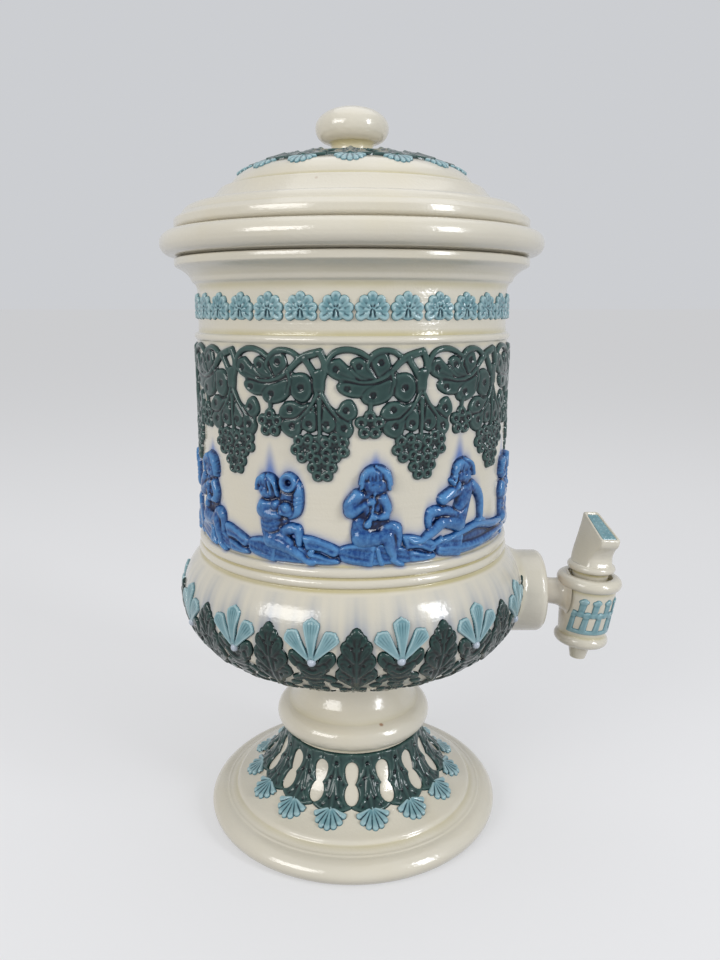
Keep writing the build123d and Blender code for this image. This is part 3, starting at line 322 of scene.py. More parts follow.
def hollows(line, reach=3.0):
    """How far each point of an outline lies below its neighbourhood, in mm: glaze pools there."""
    line = np.asarray(line, float)
    run = np.concatenate([[0], np.cumsum(np.hypot(*np.diff(line, axis=0).T))])
    found = np.zeros(len(line))
    for k, here in enumerate(run):
        before = [np.interp(here - reach, run, line[:, c]) for c in (0, 1)]
        after = [np.interp(here + reach, run, line[:, c]) for c in (0, 1)]
        middle = (np.array(before) + after) / 2
        along = np.array(after) - before
        out = np.array([along[1], -along[0]]) / max(math.hypot(*along), 1e-9)
        found[k] = (middle - line[k]) @ out
    return found


def pooled(points, rows, line):
    """The hollow value of each point, from the rows of points that an outline was turned into."""
    level = np.zeros(len(points))
    for row, value in zip(rows, hollows(line)):
        level[row] = value
    return level


# Clay of the sprigs

def bent(points, count=6):
    """A smooth line through a few points."""
    points = np.array(points, float)
    ends = np.concatenate([[2 * points[0] - points[1]], points, [2 * points[-1] - points[-2]]])
    line = []
    for a, b, c, d in zip(ends, ends[1:], ends[2:], ends[3:]):
        for t in np.linspace(0, 1, count, endpoint=False):
            square = (2 * a - 5 * b + 4 * c - d) * t * t
            cube = (3 * b - a - 3 * c + d) * t ** 3
            line.append(0.5 * (2 * b + (c - a) * t + square + cube))
    return line + [points[-1]]


def blurred(values, passes):
    """Values softened by a small average, so many times."""
    for _ in range(passes):
        for axis in (0, 1):
            values = (np.roll(values, 1, axis) + 2 * values + np.roll(values, -1, axis)) / 4
    return values


class Clay:
    """A patch of relief: heights over the carrying surface, negative outside the sprig."""

    OUTSIDE = -0.9

    def __init__(self, left, right, low, high, step=GRID):
        self.step = step
        self.u, self.v = np.meshgrid(np.arange(left, right, step), np.arange(low, high, step))
        self.height = np.full(self.u.shape, self.OUTSIDE)

    def away_from(self, start, end):
        """Distance from a straight line between two points, and the share of the way along it."""
        (u0, v0), (u1, v1) = start, end
        du, dv = u1 - u0, v1 - v0
        t = np.clip(((self.u - u0) * du + (self.v - v0) * dv) / (du * du + dv * dv + 1e-9), 0, 1)
        return np.hypot(self.u - u0 - t * du, self.v - v0 - t * dv), t

    def limb(self, route, radii):
        """Depth inside a limb along a route (u, v), with its half width at each point."""
        if np.isscalar(radii):
            radii = [radii] * len(route)
        depth = np.full(self.u.shape, -99.0)
        for start, end, r0, r1 in zip(route, route[1:], radii, radii[1:]):
            away, t = self.away_from(start, end)
            depth = np.maximum(depth, r0 + (r1 - r0) * t - away)
        return depth

    def curve(self, route, radii):
        """A limb whose route and half widths run smoothly through their points."""
        if np.isscalar(radii):
            radii = [radii] * len(route)
        smooth = bent([(u, v, r) for (u, v), r in zip(route, radii)])
        return self.limb([(p[0], p[1]) for p in smooth], [p[2] for p in smooth])

    def oval(self, centre, wide, tall, turn=0):
        """Depth inside an ellipse with those half sizes, turned counter-clockwise."""
        c, s = math.cos(math.radians(turn)), math.sin(math.radians(turn))
        x = (self.u - centre[0]) * c + (self.v - centre[1]) * s
        y = (self.v - centre[1]) * c - (self.u - centre[0]) * s
        return (1 - np.hypot(x / wide, y / tall)) * min(wide, tall)

    def shape(self, outline):
        """Depth inside a closed outline of points."""
        depth = np.full(self.u.shape, 99.0)
        inside = np.zeros(self.u.shape, bool)
        closed = list(outline) + [outline[0]]
        for (u0, v0), (u1, v1) in zip(closed, closed[1:]):
            depth = np.minimum(depth, self.away_from((u0, v0), (u1, v1))[0])
            if v0 != v1:
                crosses = (v0 > self.v) != (v1 > self.v)
                inside ^= crosses & (self.u < (u1 - u0) * (self.v - v0) / (v1 - v0) + u0)
        return np.where(inside, depth, -depth)

    def blob(self, points):
        """Depth inside a smooth closed outline through a few points."""
        loop = bent(list(points[-2:]) + list(points) + list(points[:2]), 4)
        return self.shape([tuple(p) for p in loop[8:-9]])

    def add(self, depth, high, edge, dish=0.0, soft=0.0, under=0.0):
        """Lays clay in a shape: it rises to high within edge of its outline and dips by dish inside.
        The clay that is there already is pressed in by under round the outline."""
        if under:
            near = np.exp(-(((depth + 0.1) / 0.6) ** 2))
            self.height -= np.where(self.height > 0.15, under * near * np.clip(self.height, 0, 1), 0)
        rise = np.sqrt(np.clip(1 - (1 - np.clip(depth / edge, 0, 1)) ** 2, 0, 1))
        laid = np.where(depth > 0, high * rise, depth * 1.6)
        if dish:
            inner = np.clip((depth - edge) / (0.8 * edge), 0, 1)
            laid = laid - dish * inner * inner * (3 - 2 * inner)
        laid = np.maximum(laid, self.OUTSIDE)
        if soft:
            share = np.clip(0.5 + 0.5 * (laid - self.height) / soft, 0, 1)
            self.height = self.height * (1 - share) + laid * share + soft * share * (1 - share)
        else:
            self.height = np.maximum(self.height, laid)

    def dot(self, centre, radius, deep):
        """Presses a round dimple."""
        square = (self.u - centre[0]) ** 2 + (self.v - centre[1]) ** 2
        self.height -= deep * np.exp(-(square / radius ** 2))

    def sink(self, centre, radius, floor):
        """Presses a round hole with a flat floor."""
        inside = self.oval(centre, radius, radius) > 0
        self.height = np.where(inside, np.minimum(self.height, floor), self.height)

    def scratch(self, route, wide, deep):
        """Draws a groove, or a raised line if deep is negative, where there is clay."""
        away = np.maximum(-self.limb(route, 0.0), 0)
        self.height -= np.where(self.height > 0.1, deep * np.exp(-((away / wide) ** 2)), 0)

    def crease(self, route, wide, deep):
        """A groove or a raised line that runs smoothly through its points."""
        self.scratch(bent(route), wide, deep)

    def finished(self, passes=1, fine=1.6, broad=1.0, lift=1.0, reach=6):
        """Rounds the clay as glaze does, and finds where glaze pools and where it runs thin; the pool
        value is partly pooled glaze and partly painted shade in the hollows and between the limbs.
        """
        self.height = np.maximum(blurred(self.height, passes), self.OUTSIDE)
        self.height = np.where(self.height > 0, self.height * lift, self.height)
        level = np.maximum(self.height, 0)
        small = max(int(3 * (0.42 / self.step) ** 2), 2)
        near = blurred(level, small)
        wide = blurred(near, small * reach)
        # Points below their neighbourhood get a positive value: pooled glaze and painted shade.
        pooled_and_shaded = np.clip((near - level) * fine + (wide - level) * broad, -1, 1)
        self.pool = pooled_and_shaded * np.clip(level, 0.35, 1)
        self.mask = blurred((self.height > 0.05).astype(float), 3)
        return self

    def run(self, length, spread):
        """Glaze colour that creeps out round the sprig and runs up from it."""
        creep = blurred(self.mask, spread)
        for row in range(1, len(creep)):
            fade = math.exp(-self.step / length)
            creep[row] = np.maximum(creep[row], creep[row - 1] * fade)
        return blurred(creep, 2)


def sprigs(name, clays, turns, carrier, material, body, node, clear=None, frame_of=None):
    """One piece of many sprigs: the clays in turn, wrapped on the carrier at each turn."""
    patches = {}
    for clay in clays:
        used = clay.height > -0.5
        cells = used[:-1, :-1] | used[1:, :-1] | used[:-1, 1:] | used[1:, 1:]
        corner = np.zeros(used.shape, bool)
        for rows in (slice(None, -1), slice(1, None)):
            for columns in (slice(None, -1), slice(1, None)):
                corner[rows, columns] |= cells
        number = np.cumsum(corner.ravel()).reshape(corner.shape) - 1
        values = [column[corner] for column in (clay.u, clay.v, clay.height, clay.pool)]
        patches[id(clay)] = values + [grid_faces(number, cells)]
    points, quads, pools_and_shade, total = [], [], [], 0
    for k, turn in enumerate(turns):
        u, v, height, pool, faces = patches[id(clays[k % len(clays)])]
        r, z, out_r, out_z = carrier.at(v)
        angle = math.radians(turn) + u / np.maximum(r, 1)
        reach = r + height * out_r
        where = np.stack([reach * np.sin(angle), -reach * np.cos(angle), z + height * out_z], 1)
        if clear is not None:
            free = ~clear(where)
            faces = faces[free[faces].all(1)]
        points.append(where)
        quads.append(faces + total)
        pools_and_shade.append(pool)
        total += len(where)
    quads, points, pools_and_shade = trimmed(np.concatenate(quads), np.concatenate(points), np.concatenate(pools_and_shade))
    if frame_of is not None:
        points = moved(points, frame_of)
    # The pool value of each point carries pooled glaze and painted shade.
    return place(name, plain_mesh(name, points, [quads], {"pool": pools_and_shade}), body, material, [node])


def run_on(surface_turn, surface_along, radius, clays, turns, length, spread):
    """The glaze run of all sprigs of a ring, at points of the surface that carries them."""
    found = np.zeros(len(surface_turn))
    fields = {id(clay): clay.run(length, spread) for clay in clays}
    for k, turn in enumerate(turns):
        clay = clays[k % len(clays)]
        field = fields[id(clay)]
        away = (surface_turn - math.radians(turn) + math.pi) % (2 * math.pi) - math.pi
        column = (away * radius - clay.u[0, 0]) / clay.step
        row = (surface_along - clay.v[0, 0]) / clay.step
        near = (column > 0) & (row > 0) & (column < field.shape[1] - 2) & (row < field.shape[0] - 2)
        c, r = column[near], row[near]
        c0, r0 = c.astype(int), r.astype(int)
        right, up = c - c0, r - r0
        value = (field[r0, c0] * (1 - right) + field[r0, c0 + 1] * right) * (1 - up)
        value += (field[r0 + 1, c0] * (1 - right) + field[r0 + 1, c0 + 1] * right) * up
        found[near] = np.maximum(found[near], value)
    return found


# Materials

def srgb(r, g, b):
    """A colour from 0-255 screen values."""
    values = [c / 255 for c in (r, g, b)]
    return tuple(c / 12.92 if c <= 0.04045 else ((c + 0.055) / 1.055) ** 2.4 for c in values) + (1,)


class Surface:
    """A node material, built up step by step."""

    def __init__(self, name, roughness=0.5, coat=0.0, specular=0.5):
        self.material = bpy.data.materials.new(name)
        self.material.use_nodes = True
        self.nodes = self.material.node_tree.nodes
        self.links = self.material.node_tree.links
        self.shader = self.nodes["Principled BSDF"]
        self.shader.inputs["Roughness"].default_value = roughness
        self.shader.inputs["Coat Weight"].default_value = coat
        self.shader.inputs["Coat Roughness"].default_value = 0.04
        self.shader.inputs["Specular IOR Level"].default_value = specular
        self.place = self.nodes.new("ShaderNodeTexCoord").outputs["Object"]

    def node(self, kind, inputs=None, **settings):
        made = self.nodes.new(kind)
        for key, value in settings.items():
            setattr(made, key, value)
        for key, value in (inputs or {}).items():
            if isinstance(value, bpy.types.NodeSocket):
                self.links.new(value, made.inputs[key])
            else:
                made.inputs[key].default_value = value
        return made

    def noise(self, scale, detail=2.0, at=None):
        inputs = {"Vector": self.place if at is None else at, "Scale": scale, "Detail": detail}
        return self.node("ShaderNodeTexNoise", inputs).outputs["Fac"]

    def attribute(self, name):
        return self.node("ShaderNodeAttribute", attribute_name=name).outputs["Fac"]

    def ramp(self, value, low, high, to_low=0.0, to_high=1.0):
        """The value from low to high carried over to another span, held at its ends."""
        inputs = {"Value": value, "From Min": low, "From Max": high, "To Min": to_low, "To Max": to_high}
        return self.node("ShaderNodeMapRange", inputs).outputs["Result"]

    def times(self, a, b):
        return self.node("ShaderNodeMath", {0: a, 1: b}, operation="MULTIPLY").outputs[0]

    def plus(self, a, b):
        return self.node("ShaderNodeMath", {0: a, 1: b}, operation="ADD").outputs[0]

    def mix(self, share, first, second):
        made = self.node("ShaderNodeMix", data_type="RGBA")
        for socket, value in ((made.inputs[0], share), (made.inputs[6], first), (made.inputs[7], second)):
            if isinstance(value, bpy.types.NodeSocket):
                self.links.new(value, socket)
            else:
                socket.default_value = value
        return made.outputs[2]

    def colour(self, value):
        if isinstance(value, bpy.types.NodeSocket):
            self.links.new(value, self.shader.inputs["Base Color"])
        else:
            self.shader.inputs["Base Color"].default_value = value

    def bump(self, height, distance):
        made = self.node("ShaderNodeBump", {"Height": height, "Strength": 1.0, "Distance": distance * MM})
        self.links.new(made.outputs["Normal"], self.shader.inputs["Normal"])
        self.links.new(made.outputs["Normal"], self.shader.inputs["Coat Normal"])


def cream_glaze():
    """Salt-white glaze over cream stoneware, yellow where it pools, with a few rusty specks."""
    s = Surface("cream_glaze", roughness=0.2, coat=0.5)
    base = s.mix(s.ramp(s.noise(9.0, 3.0), 0.35, 0.7), srgb(203, 197, 181), srgb(213, 207, 191))
    base = s.mix(s.ramp(s.noise(28.0), 0.5, 0.75, 0, 0.3), base, srgb(206, 196, 168))
    uneven = s.ramp(s.noise(40.0), 0.3, 0.7, 0.6, 1.0)
    pool = s.times(s.ramp(s.attribute("hollow"), 0.2, 1.2, 0, 0.85), uneven)
    base = s.mix(pool, base, srgb(180, 169, 118))
    base = s.mix(s.ramp(s.attribute("slate_run"), 0.02, 0.75, 0, 0.72), base, srgb(112, 130, 156))
    base = s.mix(s.ramp(s.attribute("cobalt_run"), 0.02, 0.8, 0, 0.9), base, srgb(52, 100, 172))
    cells = s.node("ShaderNodeTexVoronoi", {"Vector": s.place, "Scale": 62.0, "Randomness": 1.0})
    few = s.node("ShaderNodeSeparateColor", {0: cells.outputs["Color"]}).outputs[0]
    speck = s.times(s.ramp(cells.outputs["Distance"], 0.05, 0.1, 1, 0), s.ramp(few, 0.955, 0.965))
    s.colour(s.mix(s.times(speck, 0.75), base, srgb(140, 88, 42)))
    waves = s.noise(70.0)
    peel = s.times(s.noise(620.0), 0.6)
    rings = s.node("ShaderNodeMapping", {"Vector": s.place, "Scale": (3.0, 3.0, 420.0)}).outputs[0]
    thrown = s.times(s.noise(1.0, 3.0, rings), 0.8)
    s.bump(s.plus(s.plus(waves, peel), thrown), 0.16)
    return s.material


def sprig_glaze(name, thin, full, deep, run, worn, reach=0.6, mottle=150.0):
    """Glaze over coloured clay: thin on crests, full on the flats and deep in the hollows, where the deep
    colour is partly pooled glaze and partly painted shade.
    """
    s = Surface(name, roughness=0.14, coat=0.35, specular=0.22)
    pool = s.attribute("pool")
    base = s.mix(s.ramp(s.noise(mottle, 4.0), 0.38, 0.68, 0, run), srgb(*full), srgb(*thin))
    base = s.mix(s.ramp(pool, -0.15 * reach, -1.1 * reach, 0, worn), base, srgb(*thin))
    # The deep colour in the hollows: pooled glaze and painted shade.
    base = s.mix(s.ramp(pool, 0.0, 0.65 * reach), base, srgb(*deep))
    s.colour(base)
    s.bump(s.noise(190.0, 3.0), 0.07)
    return s.material


def plain_material(name, first, second, scale, roughness, bump=0.0):
    """Two tones broken up by a noise."""
    s = Surface(name, roughness=roughness)
    grain = s.noise(scale, 4.0)
    s.colour(s.mix(s.ramp(grain, 0.35, 0.65), srgb(*first), srgb(*second)))
    if bump:
        s.bump(grain, bump)
    return s.material


cream = cream_glaze()
# The deep colours, near black, are pooled glaze and painted shade in the hollows of the sprigs.
green = sprig_glaze("green_glaze", (74, 102, 96), (36, 60, 58), (4, 12, 20), 0.2, 0.4)
# A darker copy of the green glaze for the leaves on the bowl: painted shade on the bowl's downward-facing
# underside.
shaded_green = sprig_glaze("shaded_green_glaze", (44, 78, 72), (12, 36, 34), (1, 6, 9), 0.25, 0.5)
cobalt = sprig_glaze("cobalt_glaze", (92, 150, 200), (6, 58, 120), (0, 14, 54), 0.4, 0.62, 0.95, 520.0)
pale_blue = sprig_glaze("pale_blue_glaze", (164, 192, 196), (100, 140, 148), (34, 60, 70), 0.3, 0.7)
pearl = sprig_glaze("pearl_glaze", (190, 198, 208), (160, 170, 184), (92, 106, 124), 0.4, 0.5)
carbon = plain_material("carbon_block", (52, 52, 54), (70, 70, 72), 300.0, 0.85, 0.08)
ebonite = plain_material("ebonite", (30, 29, 28), (38, 36, 34), 60.0, 0.35)
rubber = plain_material("red_rubber", (140, 74, 60), (152, 88, 72), 80.0, 0.7)
cork = plain_material("cork", (164, 122, 82), (132, 92, 58), 260.0, 0.85, 0.15)


# Turned pieces

def turned_piece(name, line, body, nodes, round_off=0.5, longest=6.0, sides=SEEN_SIDES, extra=None):
    """A closed turned solid from its outline, with its corners rounded and its hollows found."""
    line = thinned(softened(line, round_off), 0.012, longest)
    points, faces, rows = turned(line, sides)
    values = {"hollow": pooled(points, rows, line)}
    if extra:
        values.update(extra(points))
    return place(name, plain_mesh(name, points, faces, values), body, cream, nodes)


def pedestal_foot():
    """The spread foot with its collar and waist, hollow below."""
    hollow = [(r - 0.8 * wall, z - 0.5 * wall) for r, z in flare_line[::-1]]
    line = (
        [(0, foot_top), (21, foot_top), (21, 80), hollow[0]]
        + hollow
        + [(73.5, 0.6), (75.5, 0)]
        + arcs((81, 0), (86, 2.5), (87, 7), (84.6, 10.4), (77.9, 12.4), count=10)
        + arcs((77.9, 12.4), (77.3, 13.1), (76.4, 12.9), count=4)
        + [(71.8, 15.0), (71.3, 16.6)]
        + flare_line
        + [(41.6, 54.2)]
        + arcs((43.2, 54.4), (46, 61.6), (40, 67.6), count=14)
        + arcs((39, 67.9), (31.6, 76.2), (waist_radius, waist_level), count=10)
        + arcs((waist_radius, waist_level), (31.5, 94.4), (38, bowl_foot), count=8)
        + [(0, bowl_foot)]
    )
    turned_piece("foot_turned", line, "urn", ["pedestal_foot"], longest=4.0)


def urn():
    """Bowl, barrel, neck and rim up the outside, then the bore down to the bowl's floor."""
    beads = ((86.7, 166.5), (88.4, 169.2), (85.9, 171.8), (87.9, 174.6), (barrel_radius, barrel_foot))
    line = (
        [(0, bowl_foot), (40, bowl_foot)]
        + bowl_line
        + arcs(*beads, count=8)
        + arc((barrel_radius, girdle), (86.3, 285.4), (84.2, neck_band), 8)
        + [(neck_radius, neck_band), (neck_radius, 309.0)]
        + arc((neck_radius, 309.2), (84.4, 310.8), (85.3, 312.3), 4)
        + arc((85.3, 312.3), (86.6, 313.2), (87.2, 314.8), 5)
        + arcs((87.2, 314.8), (89.4, 317.4), (93.9, 320.3))
        + [(95.4, 321.2), (95.4, 324.6), (94.8, rim_level), (bore_radius, rim_level), (bore_radius, 178)]
        + [(r - wall, z + 1) for r, z in bowl_line[::-1] if r > 60]
        + [(50, 109.5), (0, 106.5)]
    )
    turned_piece("urn_turned", line, "urn", ["urn_body"], longest=1.6, sides=480, extra=glaze_runs)


def glaze_runs(points):
    """Colour of the sprigs that has run into the cream glaze, at points of the urn."""
    turn = np.arctan2(points[:, 0], -points[:, 1])
    radius = np.hypot(points[:, 0], points[:, 1])
    level = points[:, 2]
    cobalt_run, slate_run = np.zeros(len(points)), np.zeros(len(points))
    here = (level > barrel_foot - 8) & (level < girdle + 4) & (radius > 84)
    cobalt_run[here], slate_run[here] = barrel_runs(turn[here], level[here] - barrel_foot)
    here = (level < barrel_foot - 2) & (radius > 55) & (level > 95)
    slate_run[here] = bowl_runs(turn[here], level[here])
    outside = (radius > 60).astype(float)
    return {"cobalt_run": cobalt_run * outside, "slate_run": slate_run * outside}


def barrel_runs(turn, along):
    """Cobalt round the figures and the drapery, slate blue under the vines."""
    under_girdle = along - (girdle - barrel_foot)
    blue = run_on(turn, along, barrel_radius, figures, figure_places, 2.4, 4)
    blue = np.maximum(blue, head_runs(turn, along))
    blue = np.maximum(blue, run_on(turn, along, barrel_radius, swags, vine_places, 1.6, 3))
    return blue, 0.75 * run_on(turn, under_girdle, barrel_radius, [vine_clay], vine_places, 1.2, 5)


def bowl_runs(turn, level):
    """Slate blue streaks over the leaves and the fans."""
    order = np.argsort(bowl.columns[1])
    along = np.interp(level, bowl.columns[1][order], bowl.run[order])
    leaves = run_on(turn, along, bowl_radius, [bowl_leaf_clay], leaf_places, 11.0, 12)
    fans = run_on(turn, along, bowl_radius, [fan_clay], fan_places, 9.0, 12)
    streaks = 0.72 + 0.28 * np.sin(83 * turn) * np.sin(57 * turn + 1)
    return np.maximum(leaves, 0.8 * fans) * streaks


def head_runs(turn, along):
    """Streaks of cobalt that run up from the heads of the figures."""
    found = np.zeros(len(turn))
    for k, figure_place in enumerate(figure_places):
        u, v, high = figure_heads[k % len(figure_heads)]
        centre = math.radians(figure_place) + u / barrel_radius
        away = ((turn - centre + math.pi) % (2 * math.pi) - math.pi) * barrel_radius
        rise = np.clip((along - v) / high, 0, 1)
        wide = 4.2 - 3.0 * rise ** 0.6
        streak = np.exp(-((away / wide) ** 2)) * (1 - rise) ** 1.1 * (along > v - 5)
        found = np.maximum(found, streak)
    return found


def boss():
    """The clay boss that carries the tap, joined to the bowl by a soft fillet."""
    sides, fillet_steps, edge_steps = 160, 7, 8
    turns = np.linspace(0, 2 * math.pi, sides, endpoint=False)
    outline = np.array(bowl_line)
    rings, hollow = [], []

    def on_bowl(reach):
        """How far out the bowl lies on a circle round the boss's axis."""
        r = np.interp(boss_level + reach * np.cos(turns), outline[:, 1], outline[:, 0])
        return np.sqrt(np.maximum(r ** 2 - (reach * np.sin(turns)) ** 2, 0))

    def ring(x, reach, pool):
        y, z = reach * np.sin(turns), boss_level + reach * np.cos(turns)
        rings.append(np.stack([np.broadcast_to(x, sides), y, z], 1))
        hollow.append(pool)

    for k in range(fillet_steps + 1):
        t = k / fillet_steps * math.pi / 2
        reach = boss_radius + boss_fillet * (1 - math.sin(t))
        sunk = 0.25 * (1 - k / fillet_steps)
        ring(on_bowl(reach) + boss_fillet * (1 - math.cos(t)) - sunk, reach, 0.5 * math.sin(2 * t))
    start = on_bowl(boss_radius) + boss_fillet
    end = boss_reach - boss_round
    for share in (0.33, 0.66, 1.0):
        ring(np.maximum(start, start + (end - start) * share), boss_radius, 0.0)
    for k in range(1, edge_steps + 1):
        t = k / edge_steps * math.pi / 2
        ring(end + boss_round * math.sin(t), boss_radius - boss_round * (1 - math.cos(t)), 0.0)
    for gap, back in ((3.0, 0), (0.7, 0), (0.1, 0.5), (0, 3)):
        ring(boss_reach - back, cork_radius + gap, 0.1)
    points, quads = strips(rings)
    mesh = plain_mesh("boss_round", points, [quads[:, ::-1]], {"hollow": np.repeat(hollow, sides)})
    place("tap_boss", mesh, "urn", cream)


def vessel():
    """The torus rim between urn and lid, and the pan that hangs in the urn."""
    seat = rim_level + seat_gap
    line = (
        [(stem_hole, pan_foot), (60, pan_foot)]
        + arc((63, pan_foot), (69.4, 203.6), (pan_radius, 210), 8)
        + [(pan_radius, 210), (pan_radius, seat), (92, seat), (95, 325.9)]
        + arcs((97.0, 326.1), (torus_radius, 333.0), (94.9, 338.4), count=18)
        + [(mouth_radius, lid_seat), (mouth_radius, 326.7), (66, 326.7), (66, 216), (63, 209.4)]
        + [(stem_hole, pan_floor), (stem_hole, pan_foot)]
    )
    turned_piece("vessel_turned", line, "vessel", ["filter_vessel"], longest=5.0)


def lid():
    """A stepped dome with a flange that drops into the vessel's mouth."""
    seat = lid_seat + seat_gap
    line = (
        [(0, 371.6)]
        + [(r - lid_wall, z - lid_wall) for r, z in dome_line[-2::-1]]
        + [(flange_inside, 338.6), (flange_inside, 331.8), (flange_radius, 331.7), (flange_radius, seat)]
        + [(92.0, seat), (93.9, 339.7), (lid_radius, 341.0), (lid_radius, 344.2), (93.7, 345.0)]
        + [(90.8, 347.1)]
        + arc((90.8, 347.1), (86.6, 351.0), (80.8, 350.5), 12)
        + arc((80.8, 350.3), (75.2, 354.6), (70.6, 359.9), 12)
        + [(70.6, 360.0), (67.1, 360.1), (66.7, 359.8)]
        + dome_line
        + [(0, 378.2)]
    )
    turned_piece("lid_turned", line, "lid", ["lid"], round_off=0.4, longest=3.0)


def knob():
    """A flattened ball on a short concave neck."""
    upper = [math.radians(t) for t in range(0, 90, 5)]
    lower = [math.radians(t) for t in range(90, 0, -5)]
    line = (
        [(0, knob_foot)]
        + arcs((13.6, knob_foot), (11.4, 379.2), (10.9, 381.4), (11.1, 383.4), (12.2, 384.9), count=6)[:-1]
        + [(12.4 + 7.1 * math.cos(t) ** 0.9, knob_middle - 7.2 * math.sin(t)) for t in lower]
        + [(knob_radius * math.cos(t) ** 0.95, knob_middle + 10.8 * math.sin(t) ** 0.97) for t in upper]
        + [(0, knob_middle + 10.8)]
    )
    turned_piece("knob_turned", line, "lid", ["lid_knob"], longest=2.0, sides=160)


# Tap

def leaned(origin, x_dir, z_dir):
    """A frame matrix (mm) from its origin and two of its directions."""
    x, z = np.array(x_dir, float), np.array(z_dir, float)
    made = np.eye(4)
    made[:3, 0], made[:3, 1], made[:3, 2], made[:3, 3] = x, np.cross(z, x), z, origin
    return made


lean = math.radians(tap_lean)
tap_x = np.array([math.cos(lean), 0, -math.sin(lean)])
tap_z = np.array([math.sin(lean), 0, math.cos(lean)])
barrel_origin = np.array([boss_reach, 0, boss_level]) + tap_x * barrel_offset
barrel_frame = leaned(barrel_origin, tap_x, tap_z)
shank_frame = leaned(barrel_origin, -tap_z, tap_x)
key_way = math.radians(key_turn - 90)
key_x = tap_x * math.cos(key_way) + np.array([0, 1, 0]) * math.sin(key_way)
key_frame = leaned(barrel_origin, key_x, tap_z)


def small_turned(line, sides, frame_of, round_off):
    """Points and faces of a small turned solid, with the hollow value of each point."""
    line = thinned(softened(line, round_off), 0.01, 3.0)
    points, faces, rows = turned(line, sides, frame_of)
    return points, faces, pooled(points, rows, line)


def tap():
    """The barrel with its rings and nozzle, and the shank that flares into it."""
    barrel_part = (
        [(nozzle_tip_radius, nozzle_tip), (nozzle_radius, tap_foot - 0.1)]
        + arcs((13.6, tap_foot), (15.9, -27.4), (tap_foot_radius, -23.9), count=12)
        + [(16.5, 4.8)]
        + arcs((tap_top_radius, 5.0), (tap_ring_radius, 8.8), (15.4, tap_top), count=14)
        + [(13.2, 12.3), (13.0, 8.5), (9.8, 8.4), (7.8, -25.3), (nozzle_bore, -25.5)]
        + [(nozzle_bore, nozzle_tip), (nozzle_tip_radius, nozzle_tip)]
    )
    shank = [(shank_radius, -shank_inside - barrel_offset), (shank_radius, -30)]
    shank += [(7.7, -28.0), (7.7, -22.4), (7.9, -19.4), (8.7, -16.8), (10.6, -14.6), (13.5, -13.2)]
    points, faces, pool = small_turned(barrel_part, 128, barrel_frame, 0.45)
    shank_points, shank_faces, _ = small_turned(shank, 96, shank_frame, 0.6)
    level = np.concatenate([pool, np.zeros(len(shank_points))])
    points, faces = joined([(points, faces), (shank_points, shank_faces)])
    mesh = plain_mesh("tap_turned", points, faces, {"hollow": level})
    place("tap_turned", mesh, "urn", cream, ["tap_body"])


def thumb_sides(count):
    """Points up the rear and the front of the thumb-piece, as (forward, up)."""
    rear = bent([(-11.6, 18.6), (-11.5, 24), (-10.9, 33), (-10.0, 44.5), (-9.6, 47.6)], 5)
    front = bent([(12.2, 18.6), (10.8, 21.5), (10.6, 25.5), (13.2, 30.4), (16.0, 33.6), (16.5, 36.6)], 5)
    lines = [evenly(line, 0.4) for line in (rear, front)]
    return [line[np.linspace(0, len(line) - 1, count).astype(int)] for line in lines]


def thumb_piece():
    """Points and faces of the thumb-piece: it narrows upward to a sloping flat with rounded edges."""
    steps, sides = 22, 64
    turns = np.linspace(0, 2 * math.pi, sides, endpoint=False)
    top_rear_half, top_front_half, top_power = 5.2, 6.6, 9.6
    rings = []

    def ring(rear, front, rear_half, front_half, power, lift=0.0):
        """A rounded section between a rear and a front point, with half widths at both ends."""
        c, s = np.cos(turns), np.sin(turns)
        along = np.sign(c) * np.abs(c) ** (2 / power)
        across = np.sign(s) * np.abs(s) ** (2 / power)
        middle, half = (rear + front) / 2, (front - rear) / 2
        up = np.array([-half[1], half[0]]) / math.hypot(*half)
        half_width = rear_half + (front_half - rear_half) * (along + 1) / 2
        at = middle + along[:, None] * half + up * lift
        rings.append(np.stack([at[:, 0], half_width * across, at[:, 1]], 1))

    for k, (rear, front) in enumerate(zip(*thumb_sides(steps))):
        below = 1 - k / (steps - 1)
        power = top_power - 7 * below
        ring(rear, front, top_rear_half + 6.3 * below ** 1.6, top_front_half + 4.4 * below ** 2.2, power)
    unit = (front - rear) / math.hypot(*(front - rear))
    for inset, lift in ((0.25, 0.55), (0.8, 0.95), (1.5, 0.95), (1.9, 0.55), (2.1, 0.1)):
        rear_half, front_half = top_rear_half - 0.8 * inset, top_front_half - 0.8 * inset
        ring(rear + unit * inset, front - unit * inset, rear_half, front_half, top_power, lift)
    points, quads = strips(rings)
    cap = np.arange(len(points) - sides, len(points))[None, :]
    return moved(points, key_frame), [quads, cap]


def key():
    """The ground plug with its disc and the thumb-piece on it."""
    plug = (
        [(0, plug_foot), (7.5, plug_foot), (9.5, 8.5)]
        + [(key_neck_radius, tap_top), (key_neck_radius, disc_low)]
        + arcs((12.2, disc_low), (disc_radius, 17.4), (12.1, disc_high), count=10)
        + [(0, disc_high)]
    )
    points, faces, pool = small_turned(plug, 96, barrel_frame, 0.35)
    thumb_points, thumb_faces = thumb_piece()
    level = np.concatenate([pool, np.zeros(len(thumb_points))])
    points, faces = joined([(points, faces), (thumb_points, thumb_faces)])
    mesh = plain_mesh("key_turned", points, faces, {"hollow": level})
    place("tap_key_turned", mesh, "key", cream, ["tap_key"])


